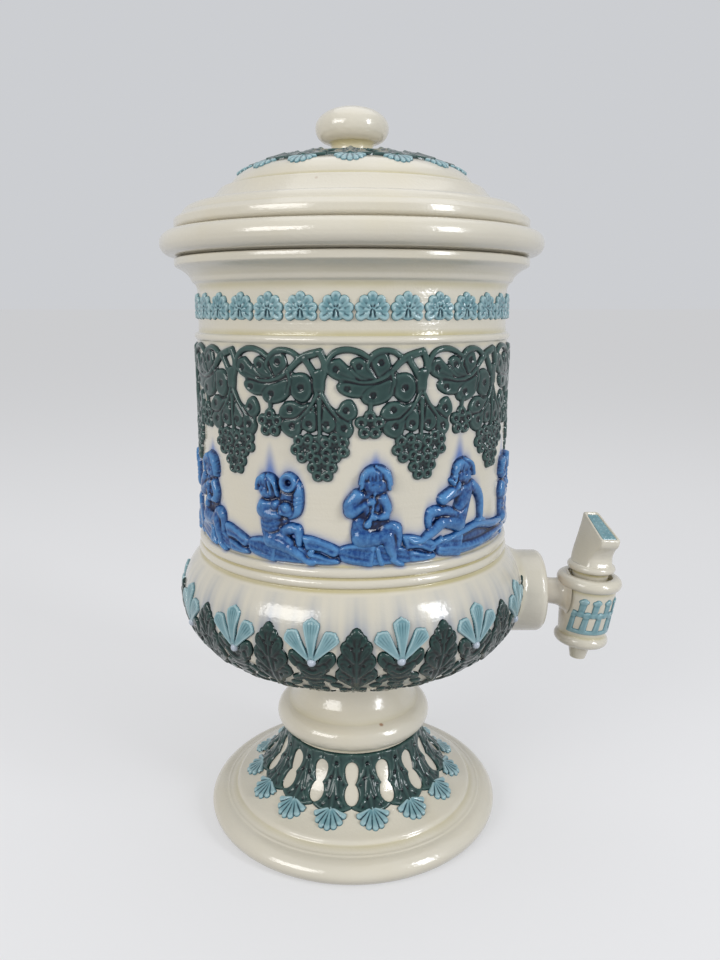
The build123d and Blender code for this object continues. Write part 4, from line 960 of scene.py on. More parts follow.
def inlay():
    """The pale blue inlay in the flat of the thumb-piece, with two rows of leaflets."""
    rear, front = (line[-1] for line in thumb_sides(2))
    length = math.hypot(*(front - rear))
    unit = (front - rear) / length
    up = np.array([-unit[1], unit[0]])
    clay = Clay(-length / 2, length / 2, -5.6, 5.6, 0.3)
    half = 3.5 + 1.2 * (clay.u / length + 0.5)
    clay.add(np.minimum(half - np.abs(clay.v), length / 2 - 2.6 - np.abs(clay.u)), 0.55, 0.6)
    pairs = 7
    for k in range(pairs):
        at = -length / 2 + 4.4 + k * (length - 8.8) / (pairs - 1)
        for side in (-1, 1):
            clay.add(clay.oval((at, side * (1.5 + 0.08 * k)), 1.3, 1.0, 35 * side), 0.85, 0.9)
    clay.finished()
    used = clay.height > -0.39
    level = np.maximum(clay.height, -0.4) + 0.15
    flat = (front + rear) / 2 + clay.u[..., None] * unit + level[..., None] * up
    points = np.stack([flat[..., 0], -clay.v, flat[..., 1]], -1).reshape(-1, 3)
    cells = used[:-1, :-1] & used[1:, :-1] & used[:-1, 1:] & used[1:, 1:]
    quads = grid_faces(np.arange(used.size).reshape(used.shape), cells)[:, ::-1]
    # The pool value of each point carries pooled glaze and painted shade.
    quads, points, pool = trimmed(quads, moved(points, key_frame), clay.pool.ravel())
    mesh = plain_mesh("key_inlay_relief", points, [quads], {"pool": pool})
    place("key_inlay_relief", mesh, "key", pale_blue, ["key_inlay"])


# Motifs

def mirrored(points):
    """The points with their mirror images, in turn."""
    return [(side * u, v) for u, v in points for side in (-1, 1)]


def palmette():
    """A fluted fan of seven lobes round a heart, with a hollow at its foot round a short stem."""
    c = Clay(-9.0, 9.0, 4.5, 21.5, 0.3)
    heart = (0, 11.4)
    tips = []
    for turn in (0, 39, -39, 76, -76, 113, -113):
        a = math.radians(turn)
        far = 5.9 if turn else 6.3
        tips.append((far * math.sin(a), heart[1] + far * math.cos(a)))
    c.add(c.oval((0, 12.6), 6.6, 5.6), 1.3, 1.0)
    for tip in tips:
        c.add(c.limb([heart, tip], [1.6, 2.35]), 1.6, 0.9, under=0.16)
    for tip in tips:
        dimple = [(share * tip[0], heart[1] + share * (tip[1] - heart[1])) for share in (0.72, 1.0)]
        c.scratch(dimple, 0.75, 0.6)
    for k in range(-6, 7):
        a = math.radians(19.5 * k)
        rib = [(r * math.sin(a), heart[1] + r * math.cos(a)) for r in (1.2, 6.0)]
        c.scratch(rib, 0.4, 0.3 if k % 2 else -0.3)
    recess = c.blob([(0, 12.6), (-1.1, 11.4), (-1.5, 9.6), (-1.4, 7.4),
                     (0, 6.9), (1.4, 7.4), (1.5, 9.6), (1.1, 11.4)])
    c.height = np.where(recess > 0, np.minimum(c.height, 0.7), c.height)
    c.add(c.limb([(0, 12.6), (0, 8.6)], [0.35, 0.75]), 1.45, 0.8)
    return c.finished()


def berry(c, centre, radius):
    """A flat round berry with a deep dimple."""
    c.add(c.oval(centre, radius, radius), 1.85, 0.42 * radius, under=0.22)
    c.sink(centre, 0.46 * radius, 0.9)


def leaf_lobe(c, points, eye):
    """A lobe of a leaf: a smooth outline with a raised edge, and a hollow near its tip."""
    c.add(c.blob(points), 1.65, 0.8, dish=0.1, under=0.26)
    c.sink(eye, 1.7, 1.0)


def branch(c, route, radii, high=1.8, under=0.3):
    """A round branch that swells and thins along its route."""
    c.add(c.curve(route, radii), high, 1.2, under=under)


def vine():
    """A broad leaf on an arched branch, two small leaves, a rosette of berries and a bunch."""
    c = Clay(-47.4, 19.5, -67, 0.6)
    lobes = [
        # broad leaf, its far tip first
        ([(-43.6, -7), (-44.6, -12), (-41, -15.2), (-35, -16.6), (-30, -17.2), (-32, -13.4),
          (-35.6, -9.6), (-40, -6)],
         (-40.6, -11)),
        ([(-33.6, -8.2), (-30.2, -6), (-26.6, -7.6), (-24, -12), (-21, -16.6), (-28, -17.4),
          (-31.4, -14.2)], (-30, -9.8)),
        ([(-25.2, -7), (-22, -3.6), (-17.8, -3.6), (-15.9, -7.4), (-15.6, -11.4), (-18.4, -15),
          (-22.6, -14)], (-20, -8)),
        ([(-20, -17.6), (-28, -17.8), (-35, -17.2), (-39.8, -18.2), (-38.6, -21.4), (-34, -23.5),
          (-28, -23.6), (-24, -21.6)], (-35.4, -20)),
        ([(-26, -19.8), (-28.8, -23.6), (-27.2, -26.6), (-22.6, -27.4), (-17, -25.4), (-13.6, -21),
          (-14.6, -16), (-20, -17)], (-23.6, -23)),
        ([(-14.2, -15), (-10.6, -13.4), (-6, -13.8), (-3.2, -18), (-3.8, -22.8), (-7, -26.2),
          (-11, -25.2), (-13.8, -21.6)], (-8.5, -19.6)),
        # small leaf on the left
        ([(-3.6, -27), (-8, -28), (-11.4, -26.6), (-15.8, -26.8), (-19.2, -30), (-19.3, -33.6),
          (-15, -34.4), (-9, -33)], (-14, -29.8)),
        ([(-7, -32.4), (-12, -34.2), (-17.2, -35), (-19, -38.2), (-17, -41.4), (-12.6, -43.2),
          (-9, -41.2)], (-13, -37.6)),
        ([(-4.6, -29), (-7.8, -33.6), (-8.2, -38), (-5, -40), (-2, -39.2), (-1.2, -35), (-1.8, -30.8)],
         (-4.8, -36.4)),
        # small leaf on the right
        ([(3.8, -27), (7.4, -29.8), (9.2, -29.4), (11, -26.4), (14.8, -25.4), (17.4, -30), (16, -33.6),
          (11, -34.2)],
         (12.4, -29.8)),
        ([(7.6, -32.4), (13, -35), (15.6, -38.2), (14.4, -41.8), (11.4, -43.6), (8.4, -41.6), (7.4, -37)],
         (11.5, -38.2)),
        ([(2, -28), (4.8, -30.6), (7.6, -34.8), (7.4, -38.4), (4.4, -40.4), (1.5, -38.6), (1, -33)],
         (3.4, -36.4)),
    ]
    solid = [
        [(-44.2, -8), (-43.6, -13), (-39.5, -16.4), (-39, -20.5), (-33, -23.4), (-28.5, -24.5),
         (-24, -27), (-18, -25.6), (-14, -21.5), (-9, -16.5), (-13.4, -11.4), (-17, -8.2), (-22, -9),
         (-26, -10.6), (-31, -9), (-35, -9.5), (-39, -6.5)],
        [(-1.6, -28.4), (-8, -28.2), (-12, -26.6), (-18, -29), (-19, -33), (-18.4, -38), (-15.6, -42),
         (-12, -42.4), (-8, -39.4), (-4.6, -39.6), (-1.4, -38)],
        [(2, -28.6), (7, -30.8), (10, -28.6), (14.6, -26), (16.6, -30), (15.6, -34), (15, -38),
         (12, -42.6), (8.4, -40.5), (4.6, -40), (1.4, -38)],
    ]
    for outline in solid:
        c.add(c.blob(outline), 1.3, 1.0)
    for points, eye in lobes:
        c.add(c.blob(points) + 0.6, 1.3, 0.9)
    for points, eye in lobes:
        leaf_lobe(c, points, eye)
    # branch, arches over the leaf and midrib
    branch(c, [(-10, -5.6), (-14, -3.2), (-19.6, -2.7), (-24, -4.9), (-26, -9.6), (-23.4, -13.4)],
           [1.5, 1.4, 1.4, 1.3, 1, 0.5])
    branch(c, [(-26, -5.6), (-30, -3.3), (-36, -2.2), (-41.6, -3.8), (-44.8, -8.2), (-44.6, -12.6)],
           [1.2, 1.4, 1.5, 1.5, 1.3, 0.7])
    branch(c, [(-33.4, -11.4), (-30, -14.8), (-25, -16.2)], [0.9, 0.8, 0.5], 1.85, 0.3)
    branch(c, [(0.6, -3.2), (-6, -5.2), (-10, -7.4), (-14.6, -11.8), (-20, -15.6), (-27, -17.1),
               (-34, -15.9), (-40, -13.4)],
           [1.8, 2.0, 1.8, 1.5, 1.2, 0.9, 0.7, 0.4], 1.85, 0.35)
    branch(c, [(-14.8, -12.6), (-13.9, -17.6), (-15.4, -22)], [1.1, 0.9, 0.5])
    # fork and stem
    branch(c, [(0.8, -3.6), (2.8, -8.4), (2.3, -12.4), (0.8, -16)], [1.7, 1.8, 1.9, 2.3], 1.75, 0.3)
    branch(c, [(-6.4, -6.8), (-3.2, -11.6), (-0.4, -16)], [1.7, 1.7, 2.2], 1.75, 0.3)
    branch(c, [(0.2, -13), (0, -17), (0, -21), (0.2, -26.4)], [2.2, 3.0, 2.6, 1.8], 1.75, 0.2)
    branch(c, [(-0.8, -22.6), (-4, -28.2), (-9, -33.6), (-12.6, -36.4)], [1.3, 1.0, 0.8, 0.4])
    branch(c, [(1.2, -22.6), (4.8, -28.4), (8.8, -33.4), (11.4, -37)], [1.3, 1.0, 0.8, 0.4])
    branch(c, [(0.2, -25), (0.2, -36), (0.1, -47)], [1.3, 1.1, 0.9])
    # rosette and the bunch of three clusters
    branch(c, [(-24.6, -26.4), (-24.9, -33)], 1.2, 1.5)
    c.add(c.oval((-25, -37), 4.4, 4.4), 1.2, 1.0)
    bunch = [(-12, -47.6), (-6, -42.4), (5, -42), (12, -47), (7, -54.4), (2, -61), (-4.4, -55)]
    c.add(c.blob(bunch), 1.25, 1.0)
    for centre, count, first, around in (
        ((-25, -37), 5, 18, 4.3), ((-7.1, -48.2), 6, 10, 4.7), ((7.3, -47.4), 6, 32, 4.6),
        ((1.1, -57.2), 6, 2, 4.6),
    ):
        for k in range(count):
            a = math.radians(first + 360 / count * k)
            middle = (centre[0] + around * math.cos(a), centre[1] + around * math.sin(a))
            berry(c, middle, 3.0 if count == 5 else 2.85)
        c.dot(centre, 1.0, 0.9)
    return c.finished()


def flesh(c, *limbs):
    """Rounded limbs laid one over the other: each a route, its half widths and its height."""
    for route, radii, high in limbs:
        c.add(c.curve(route, radii), high, max(radii), soft=0.2, under=0.16)


def hand(c, centre, turn, length=2.2):
    """A small closed hand: four fingers side by side on a round palm."""
    c.add(c.oval(centre, 2.5, 2.3, turn), 3.1, 1.9, under=0.35)
    along = np.array([math.cos(math.radians(turn)), math.sin(math.radians(turn))])
    across = np.array([-along[1], along[0]])
    for k in (-1, 0, 1):
        base = np.array(centre) + across * k * 1.15
        c.scratch([tuple(base - along * 0.4), tuple(base + along * length)], 0.3, 0.55)


def head(c, centre, size, look, ends):
    """A round head of hair in locks, over a plain calm child's face that looks to one side."""
    u, v = centre
    c.add(c.oval(centre, size, size), 2.6, 0.7 * size, under=0.4)
    face_u, face_v = u + look, v - 0.36 * size
    wide, tall = 0.54 * size, 0.6 * size
    c.add(c.oval((face_u, face_v), wide, tall), 2.6, 0.8 * wide, soft=0.15, under=0.25)
    for side in (-1, 1):
        c.dot((face_u + side * 0.4 * wide, face_v + 0.14 * tall), 0.7, 0.6)
        c.add(c.oval((face_u + side * 0.45 * wide, face_v - 0.36 * tall), 1.3, 1.2), 2.65, 1.2, soft=0.3)
    c.add(c.oval((face_u, face_v - 0.1 * tall), 0.6, 1.0), 3.0, 0.7, soft=0.2)
    c.scratch([(face_u - 0.8, face_v - 0.56 * tall), (face_u + 0.8, face_v - 0.56 * tall)], 0.26, 0.4)
    crown = (u, v + 0.84 * size)
    for end_u, end_v in ends:
        end = (u + end_u * size, v + end_v * size)
        middle = ((crown[0] + end[0]) / 2 + (end[0] - crown[0]) * 0.22, (crown[1] + end[1]) / 2 + 0.9)
        c.add(c.curve([crown, middle, end], [0.65, 1.3, 0.91]), 3.05, 1.3, under=0.28)


def piper():
    """A seated child who plays a pipe, seen from the front."""
    c = Clay(-22, 25, -1.5, 64)
    c.add(c.oval((0.5, 25), 8.5, 12.0), 1.1, 2.0)
    flesh(c,
          ([(4, 15.5), (9, 18.6), (11.6, 18.4)], [3.6, 4.1, 3.9], 2.3),
          ([(12.2, 17.6), (13, 13.5), (12.4, 9)], [3.4, 2.6, 2.0], 1.9),
          ([(0.4, 34), (-1.6, 27), (-3.4, 17)], [6.2, 6.4, 6.4], 2.3))
    c.dot((-3.8, 25.6), 2.2, 1.1)
    c.dot((1.5, 20), 2.6, 0.9)
    flesh(c,
          ([(3.2, 9.4), (4.0, 5), (5.2, 2.2)], [1.5, 1.6, 1.9], 2.2),
          ([(-4.4, 14.8), (1.5, 14.4), (7.6, 15.2)], [5.2, 4.3, 3.6], 2.95),
          ([(7.8, 15), (9.2, 9.6), (10.8, 5)], [3.9, 3.3, 2.3], 2.9),
          ([(10.6, 3.6), (13, 1.8), (15.4, 0.8)], [2.1, 1.8, 1.3], 2.5),
          ([(5.4, 34.4), (7.5, 29.6), (6.7, 26)], [2.9, 2.7, 2.5], 2.6),
          ([(6.6, 25.8), (4.2, 25.2), (1.6, 25.4)], [2.5, 2.1, 1.9], 2.8),
          ([(-6.4, 35.4), (-9.2, 31.4), (-9.4, 28)], [3.8, 4.0, 3.9], 2.8),
          ([(-9, 28), (-4.6, 30.4), (-0.4, 32.8)], [3.6, 2.9, 2.2], 3.0))
    pipe = c.limb([(1.6, 37.4), (0.9, 32), (0, 26), (-1.8, 21.6)], [0.7, 0.8, 1.0, 1.9])
    c.add(pipe, 3.1, 0.9, under=0.5)
    hand(c, (0.2, 32.8), 12)
    hand(c, (0.9, 25.5), 170)
    locks = [(-0.88, -0.5), (-0.94, -0.2), (-0.78, 0.04), (-0.56, 0.12), (-0.36, 0.06), (-0.14, 0.12),
             (0.08, 0.04), (0.3, 0.12), (0.52, 0.06), (0.72, 0.1), (0.92, -0.04), (0.94, -0.3),
             (0.84, -0.6)]
    head(c, (2.2, 43.2), 7.9, 0.1, locks)
    return c.finished(1, 0.9, 1.1, 1.25, 12)


def horn_player():
    """A seated child turned to the right, with a curled horn held in both arms."""
    c = Clay(-19, 30, -1.5, 60)
    c.add(c.oval((0.5, 22), 8, 12), 1.1, 2.0)
    c.add(c.blob([(-6, 30), (-4, 42), (3, 42), (9, 43), (12.6, 36), (11, 27), (4, 22)]), 1.0, 2.0)
    flesh(c,
          ([(5, 16.2), (9.4, 18), (13, 18.2)], [2.8, 3.2, 2.7], 2.3),
          ([(13.2, 17.6), (13.8, 14), (13.6, 11)], [2.6, 2.4, 2.1], 2.2),
          ([(-1, 27), (-1.4, 20), (-1, 12.5)], [6.4, 6.4, 5.4], 2.4))
    for low in (16.2, 18.8):
        c.crease([(-5.4, low), (-0.5, low - 0.8), (4, low + 0.6)], 0.55, 0.4)
    flesh(c,
          ([(20.2, 8), (19.2, 6), (21.6, 5.4)], [1.6, 1.7, 1.2], 2.2),
          ([(0.5, 13.4), (4.8, 14.2), (10, 11)], [2.6, 2.7, 2.2], 2.6),
          ([(-1.6, 11.6), (4.4, 10.4), (10.6, 7.6)], [4.6, 4.4, 3.5], 2.95),
          ([(10.6, 7.6), (14, 5.4), (17, 3.6)], [3.4, 2.8, 2.1], 2.8),
          ([(17, 3.2), (19.6, 2.4), (21.6, 2.6)], [2.1, 2.3, 1.6], 2.6),
          ([(11.6, 42.4), (13.6, 38), (13.6, 32), (12.4, 27), (9.2, 24.6)],
           [2.6, 2.6, 2.9, 2.8, 2.2], 2.5))
    for at in (30.4, 32.4, 34.4):
        c.scratch([(10.6, at - 0.8), (15.4, at + 0.6)], 0.35, 0.4)
    c.add(c.oval((8.8, 41), 4.7, 5.1, -12), 2.9, 1.2, dish=0.8, under=0.9)
    c.dot((8.8, 40.9), 1.35, 2.2)
    flesh(c,
          ([(2.4, 29.6), (4.6, 27.6)], [2.8, 2.6], 2.5),
          ([(-4.4, 28.4), (-5, 26), (-3, 24.6)], [4.4, 4.6, 4.0], 3.0),
          ([(-3.4, 24.8), (1.6, 24.4), (5.6, 26.4)], [3.8, 3.1, 2.5], 3.0))
    c.add(c.oval((7.5, 27.6), 4.0, 4.0), 2.6, 2.4, under=0.8)
    hand(c, (7.8, 28.6), 70, 2.6)
    locks = [(-0.92, -0.3), (-0.9, 0), (-0.7, 0.16), (-0.5, 0.1), (-0.28, 0.16), (-0.06, 0.06),
             (0.16, 0.0), (0.32, -0.24), (0.36, -0.56), (0.6, 0.1), (0.78, -0.2), (0.82, -0.6)]
    head(c, (-2.4, 38.4), 6.9, -0.9, locks)
    c.dot((3.4, 37.4), 0.8, 0.7)
    return c.finished(1, 0.9, 1.1, 1.25, 12)


def recliner():
    """A child who leans back on one arm, the other hand at the chin and the knees drawn up."""
    c = Clay(-38, 27, -1.5, 64)
    flesh(c,
          ([(8, 35.6), (12.8, 32), (15.4, 27), (16, 20.4), (16, 17)], [3.3, 3.0, 2.6, 2.1, 1.9], 2.4),
          ([(13.4, 16), (16.4, 16.4), (19.4, 15.6)], [1.3, 1.9, 1.3], 2.3),
          ([(-4, 22.6), (-10, 24.8), (-16.4, 25.4)], [2.9, 3.0, 3.2], 2.2),
          ([(-18.2, 25), (-19.4, 21.4), (-18.8, 17)], [3.0, 2.1, 1.8], 2.0),
          ([(3.4, 35), (1.4, 28), (-0.6, 19)], [5.8, 5.8, 5.2], 2.4))
    c.crease([(-5, 25.4), (-1, 24), (3.4, 27)], 0.6, 0.5)
    c.dot((-3.4, 28.8), 2.0, 0.9)
    flesh(c,
          ([(-12, 10.6), (-15, 9.4), (-18.2, 8.2)], [1.9, 1.7, 1.3], 2.0),
          ([(-1, 17.2), (-6.4, 18.8), (-12, 19.4)], [4.4, 3.9, 3.4], 2.9),
          ([(-12.4, 19.2), (-17.6, 15.4), (-22.6, 12)], [3.5, 3.0, 2.0], 2.8),
          ([(-22.6, 11.8), (-27, 11.6), (-31, 14)], [2.0, 2.0, 1.3], 2.5),
          ([(3.6, 36.6), (-3, 34), (-9, 31.6)], [2.8, 2.8, 3.0], 2.4),
          ([(-11.4, 31.2), (-7.6, 33.6), (-3.4, 36.2)], [3.4, 3.0, 2.3], 3.0))
    hand(c, (-2.8, 37.2), 62, 2.4)
    c.add(c.limb([(-5.4, 38.2), (-7, 40.2)], [1.3, 1.0]), 2.6, 1.0, under=0.5)
    locks = [(-0.86, -0.7), (-0.94, -0.4), (-0.9, -0.1), (-0.64, 0), (-0.4, 0.1), (-0.16, 0.02),
             (0.06, 0.12), (0.28, 0.06), (0.5, 0.14), (0.72, 0.08), (0.9, -0.1), (0.96, -0.42)]
    head(c, (1.2, 44.2), 7.1, 1.6, locks)
    return c.finished(1, 0.9, 1.1, 1.25, 12)


def swag(sheets, folds, creases, left, right):
    """Cloth that hangs between the figures: sheets with rolled edges, rounded folds and creases."""
    c = Clay(left, right, -1.0, 22)
    for outline, high in sheets:
        c.add(c.blob(outline), high, 1.6, dish=0.2, under=0.3)
    for route, radii, high in folds:
        c.add(c.curve(route, radii), high, max(radii), under=0.3)
    for route in creases:
        c.crease(route, 0.6, 0.32)
        c.crease([(u, v + 0.9) for u, v in route], 0.5, -0.3)
    return c.finished(2, 1.0, 1.3, 1.0, 12)


front_swag = (
    [
        ([(-30, 13.4), (-21, 12.6), (-11, 10.4), (-3, 7), (1, 3), (-4, 1.2), (-16, 0.9), (-30, 1.6)],
         1.75),
        ([(27, 11.8), (18, 12.4), (11.4, 11.2), (8.4, 9.4), (8.8, 5.4), (11, 2.6), (18, 1.0), (27, 0.9)],
         2.0),
        ([(-9.6, 14.8), (-5, 15.4), (0, 14), (4, 12.6), (8, 10.9), (9.6, 9.2), (8.8, 6.4), (6, 5),
          (0, 7.6), (-9, 8.6)], 2.3),
        ([(-6.4, 7.4), (-2, 7.2), (3, 5.4), (8.4, 4.4), (9, 1.8), (2, 1.0), (-6, 1.8)], 2.1),
    ],
    [],
    [
        [(-28, 9.6), (-20, 7.8), (-12, 5.6), (-5, 3.2)], [(-28, 5.6), (-18, 4.0), (-8, 2.2)],
        [(-24, 11), (-15, 9), (-8, 6.6)], [(-7, 11.6), (-1, 11), (6, 8.4)],
        [(-4, 13.4), (2, 12.0), (6, 10.6)], [(-4, 5), (2, 3.6), (7, 2.8)],
        [(11, 9.4), (17, 9.4), (25, 8)], [(10, 6.8), (17, 5.2), (25, 3)],
        [(12, 3.6), (18, 2.4), (26, 1.8)],
    ],
    -31, 28,
)
side_swag = (
    [([(-38, 10.4), (-24, 12.4), (-8, 13), (8, 11.6), (26, 10.6), (26, 1.4), (4, 1.2), (-20, 1.6),
       (-34, 4)], 1.1)],
    [
        ([(-37.4, 6.4), (-26, 4.3), (-12, 4.0), (2, 5.0), (14, 6), (26, 5)],
         [2.2, 3.1, 2.9, 2.8, 2.8, 2.4], 2.3),
        ([(-36, 8.8), (-24.3, 12), (-13, 14), (-6, 13.6), (6, 11), (22, 10)],
         [1.0, 2.1, 2.3, 2.4, 2.5, 2.0], 2.4),
    ],
    [[(-33, 5.4), (-22, 3.2), (-10, 3.2)], [(-34, 8.6), (-22, 11.4), (-12, 13)],
     [(-4, 4), (8, 5.2), (22, 4.2)]],
    -41, 28,
)


def acanthus():
    """A pointed leaf of rounded lobes either side of a ribbed stem; along runs up the bowl."""
    c = Clay(-13.5, 13.5, 46, 104, 0.38)
    half = [(1.7, 86.9), (2.9, 84.6), (4.6, 83.4), (5.1, 81.4), (6.8, 80.4), (7.7, 78.4), (7.0, 75),
            (8.9, 72.4), (9.4, 69.6), (8.2, 66), (9.9, 63.6), (10.2, 60), (8.4, 57.4), (4.2, 54.6),
            (1.8, 49)]
    c.add(c.shape([(0, 87.7)] + half + [(-u, v) for u, v in half[::-1]]) + 0.3, 1.4, 1.0)
    for across, along, radius in ((6.9, 60.8, 3.2), (6.3, 69.2, 3.1), (5.2, 77.2, 2.6), (3.2, 81.8, 2.0),
                                  (1.5, 84.6, 1.7)):
        for side in (-1, 1):
            route = [(side * 0.22 * across, along - 2.6 * radius),
                     (side * 0.7 * across, along - 0.9 * radius), (side * across, along)]
            c.add(c.curve(route, [1.2, 0.85 * radius, radius]), 1.6, 1.0, dish=0.1, under=0.24)
            c.crease(route, 0.35, -0.35)
            c.dot((side * 1.15 * across, along + 0.2 * radius), 0.8, 0.4)
    for u, v in mirrored([(2.1, 78), (3.3, 68.2), (3.9, 59)]):
        c.dot((u, v), 0.75, 1.3)
    c.add(c.oval((0, 84.6), 2.1, 3.0), 1.7, 1.1, under=0.25)
    c.add(c.limb([(0, 50), (0, 84)], [2.0, 0.9]), 1.75, 1.2, under=0.28)
    for side in (-1, 1):
        c.scratch([(side * 0.85, 52), (side * 0.35, 83)], 0.28, 0.5)
    return c.finished()


def petal(c, heart, turn, length, half):
    """A petal that widens from the heart to a scalloped end, with a raised edge and fine flutes."""
    cs, sn = math.cos(math.radians(turn)), math.sin(math.radians(turn))

    def at(x, y):
        return (heart[0] + x * cs + y * sn, heart[1] - x * sn + y * cs)

    side = [(0.7, 1.0), (0.62 * half, 0.5 * length), (half, 0.82 * length), (0.97 * half, 0.89 * length),
            (0.72 * half, 0.925 * length), (0.52 * half, 0.96 * length), (0.24 * half, 0.975 * length)]
    outline = side + [(0, 1.01 * length)] + [(-x, y) for x, y in side[::-1]]
    c.add(c.shape([at(x, y) for x, y in outline]) + 0.2, 1.8, 0.55, dish=0.55, under=0.3)
    for k in (-1.5, -0.5, 0.5, 1.5):
        c.scratch([at(0.05 * half * k, 0.14 * length), at(0.4 * half * k, 0.88 * length)], 0.28, -0.3)


def fan():
    """Three petals over a heart."""
    c = Clay(-17, 17, 66, 104, 0.32)
    for turn, length in ((-37, 19.6), (37, 19.6), (0, 22.2)):
        petal(c, (0, 69.4), turn, length, 4.0)
    return c.finished()


def calyx():
    """Two round sepals and a cup under the fan, over a band and two small leaves."""
    c = Clay(-15.0, 15.0, 45, 77, 0.38)
    c.add(c.oval((0, 65.6), 8.6, 5.2), 1.2, 1.2)
    for side in (-1, 1):
        sepal = [(2, 66), (5, 65.2), (9, 66.6), (11.4, 70.6), (10.8, 74.4), (8, 74.8), (4, 71.6)]
        c.add(c.blob([(side * u, v) for u, v in sepal]) + 0.5, 1.7, 1.3, dish=0.12, under=0.2)
        c.crease([(side * 2.6, 67.6), (side * 6.6, 69.2), (side * 9.6, 72.6)], 0.45, 0.5)
        c.add(c.oval((side * 7.4, 58), 4.2, 2.6, -24 * side), 1.5, 1.2, dish=0.15, under=0.2)
        c.add(c.oval((side * 10.2, 51.8), 3.4, 2.3, -24 * side), 1.3, 1.1, under=0.2)
    cup = [(-5.8, 67.4), (-3.8, 63.4), (0, 61.6), (3.8, 63.4), (5.8, 67.4)]
    c.add(c.curve(cup, [1.9, 2.6, 2.9, 2.6, 1.9]), 1.9, 1.6, under=0.35)
    c.crease([(-4.6, 64.4), (0, 61.8), (4.6, 64.4)], 0.4, 0.5)
    for level, half in ((59.2, 4.6), (56.2, 3.6)):
        band = [(-half, level + 0.8), (0, level - 0.4), (half, level + 0.8)]
        c.add(c.curve(band, 1.7), 1.6, 1.1, under=0.25)
    c.add(c.oval((0, 51.6), 4.4, 3.4), 1.4, 1.4, dish=0.15)
    return c.finished()


def heart_pearl():
    """A round pearl at the heart of a fan."""
    c = Clay(-3.4, 3.4, 66.2, 72.8, 0.22)
    c.add(c.oval((0, 69.5), 2.35, 2.35), 3.0, 2.35)
    return c.finished()


def base_leaf():
    """A small pointed leaf with curled sides, low under the bowl."""
    c = Clay(-7.0, 7.0, 24, 50.5, 0.42)
    for side in (-1, 1):
        curl = [(side * 0.6, 29), (side * 3.6, 36), (side * 2.2, 44)]
        c.add(c.curve(curl, [1.4, 2.3, 1.7]), 1.25, 1.0, dish=0.4)
        c.add(c.oval((side * 4.8, 45.4), 2.3, 2.1), 1.2, 1.0, dish=0.4, under=0.4)
        c.add(c.oval((side * 5.4, 31.6), 1.9, 3.2), 1.15, 1.0, dish=0.3, under=0.4)
    c.add(c.limb([(0, 26), (0, 48)], [1.5, 0.9]), 1.35, 0.9, under=0.5)
    return c.finished()


def shell(c, centre, wide, tall, high):
    """A fluted shell that hangs from its heart: seven ribs with scalloped ends."""
    heart = (centre[0], centre[1] + 0.48 * tall)
    c.add(c.oval((centre[0], centre[1] + 0.06 * tall), 0.42 * wide, 0.48 * tall), 0.75 * high, 1.0)
    for turn in (-78, 78, -52, 52, -26, 26, 0):
        a = math.radians(turn)
        tip = (heart[0] + 0.47 * wide * math.sin(a), heart[1] - 0.9 * tall * (0.2 + 0.8 * math.cos(a)))
        c.add(c.limb([heart, tip], [0.5, 0.105 * wide]), high, 0.7, dish=0.2, under=0.18)
        c.scratch([heart, tip], 0.28, -0.3)


def collar_leaf(carrier, count, low, scale):
    """One of count leaves of an openwork collar, which meet their neighbours round two holes."""
    c = Clay(-14, 14, low, low + 46.5 * scale, 0.4 if scale == 1 else 0.34)
    u, rise = np.abs(c.u), (c.v - low) / scale
    half = carrier.at(c.v)[0] * math.pi / count
    edge = half - u

    def hole(half_wide, middle, above, below):
        """Half the width of a rounded hole at every level of the leaf."""
        off = (rise - middle) / np.where(rise > middle, above, below)
        return half_wide * scale * np.sqrt(np.clip(1 - off ** 2, 0, 1))

    opening = np.maximum(hole(3.8, 34.0, 4.6, 8.6), hole(4.0, 20.6, 6.4, 5.6))
    web = np.where(opening > 0.05, edge - opening, 1.2)
    foot = 10.5 + 3.0 * (u / half) ** 2
    depth = np.minimum(np.minimum(web, (43.6 - rise) * scale), (rise - foot) * scale)
    depth = np.where(edge > -0.15, depth, -9)
    c.add(depth, 1.5, 1.3)
    dots = [(0, 38, 1.7), (0.3, 30, 1.5), (0.62, 26.2, 2.2),
            (0.3, 19, 1.5), (0.66, 14.4, 2.2), (0.85, 41, 2.0)]
    for share, level, radius in dots:
        for side in (-1, 1):
            c.dot((side * share * 9 * scale, low + level * scale), radius * scale * 0.7, 0.7)
    for side in (-1, 1):
        for levels in ((42, 33, 27), (29, 20, 14)):
            rib = [(side * u * scale, low + level * scale) for u, level in zip((0.9, 2.4, 6.4), levels)]
            c.crease(rib, 0.6, -0.6)
    c.scratch([(0, low + 43 * scale), (0, low + 12 * scale)], 0.8, -0.6)
    c.height = np.where(edge > -0.15, c.height, -0.9)
    return c.finished()


def foot_shell():
    """The shell that hangs from the tip of a leaf of the foot's collar."""
    c = Clay(-9.4, 9.4, 3.2, 21.5, 0.34)
    shell(c, (0, 11.4), 16.8, 12.8, 1.9)
    return c.finished()


def lid_shell():
    """The smaller shell at the tip of a leaf of the lid's ring."""
    c = Clay(-8.2, 8.2, 5.6, 18, 0.32)
    shell(c, (0, 11.6), 13.6, 9.0, 1.2)
    return c.finished()


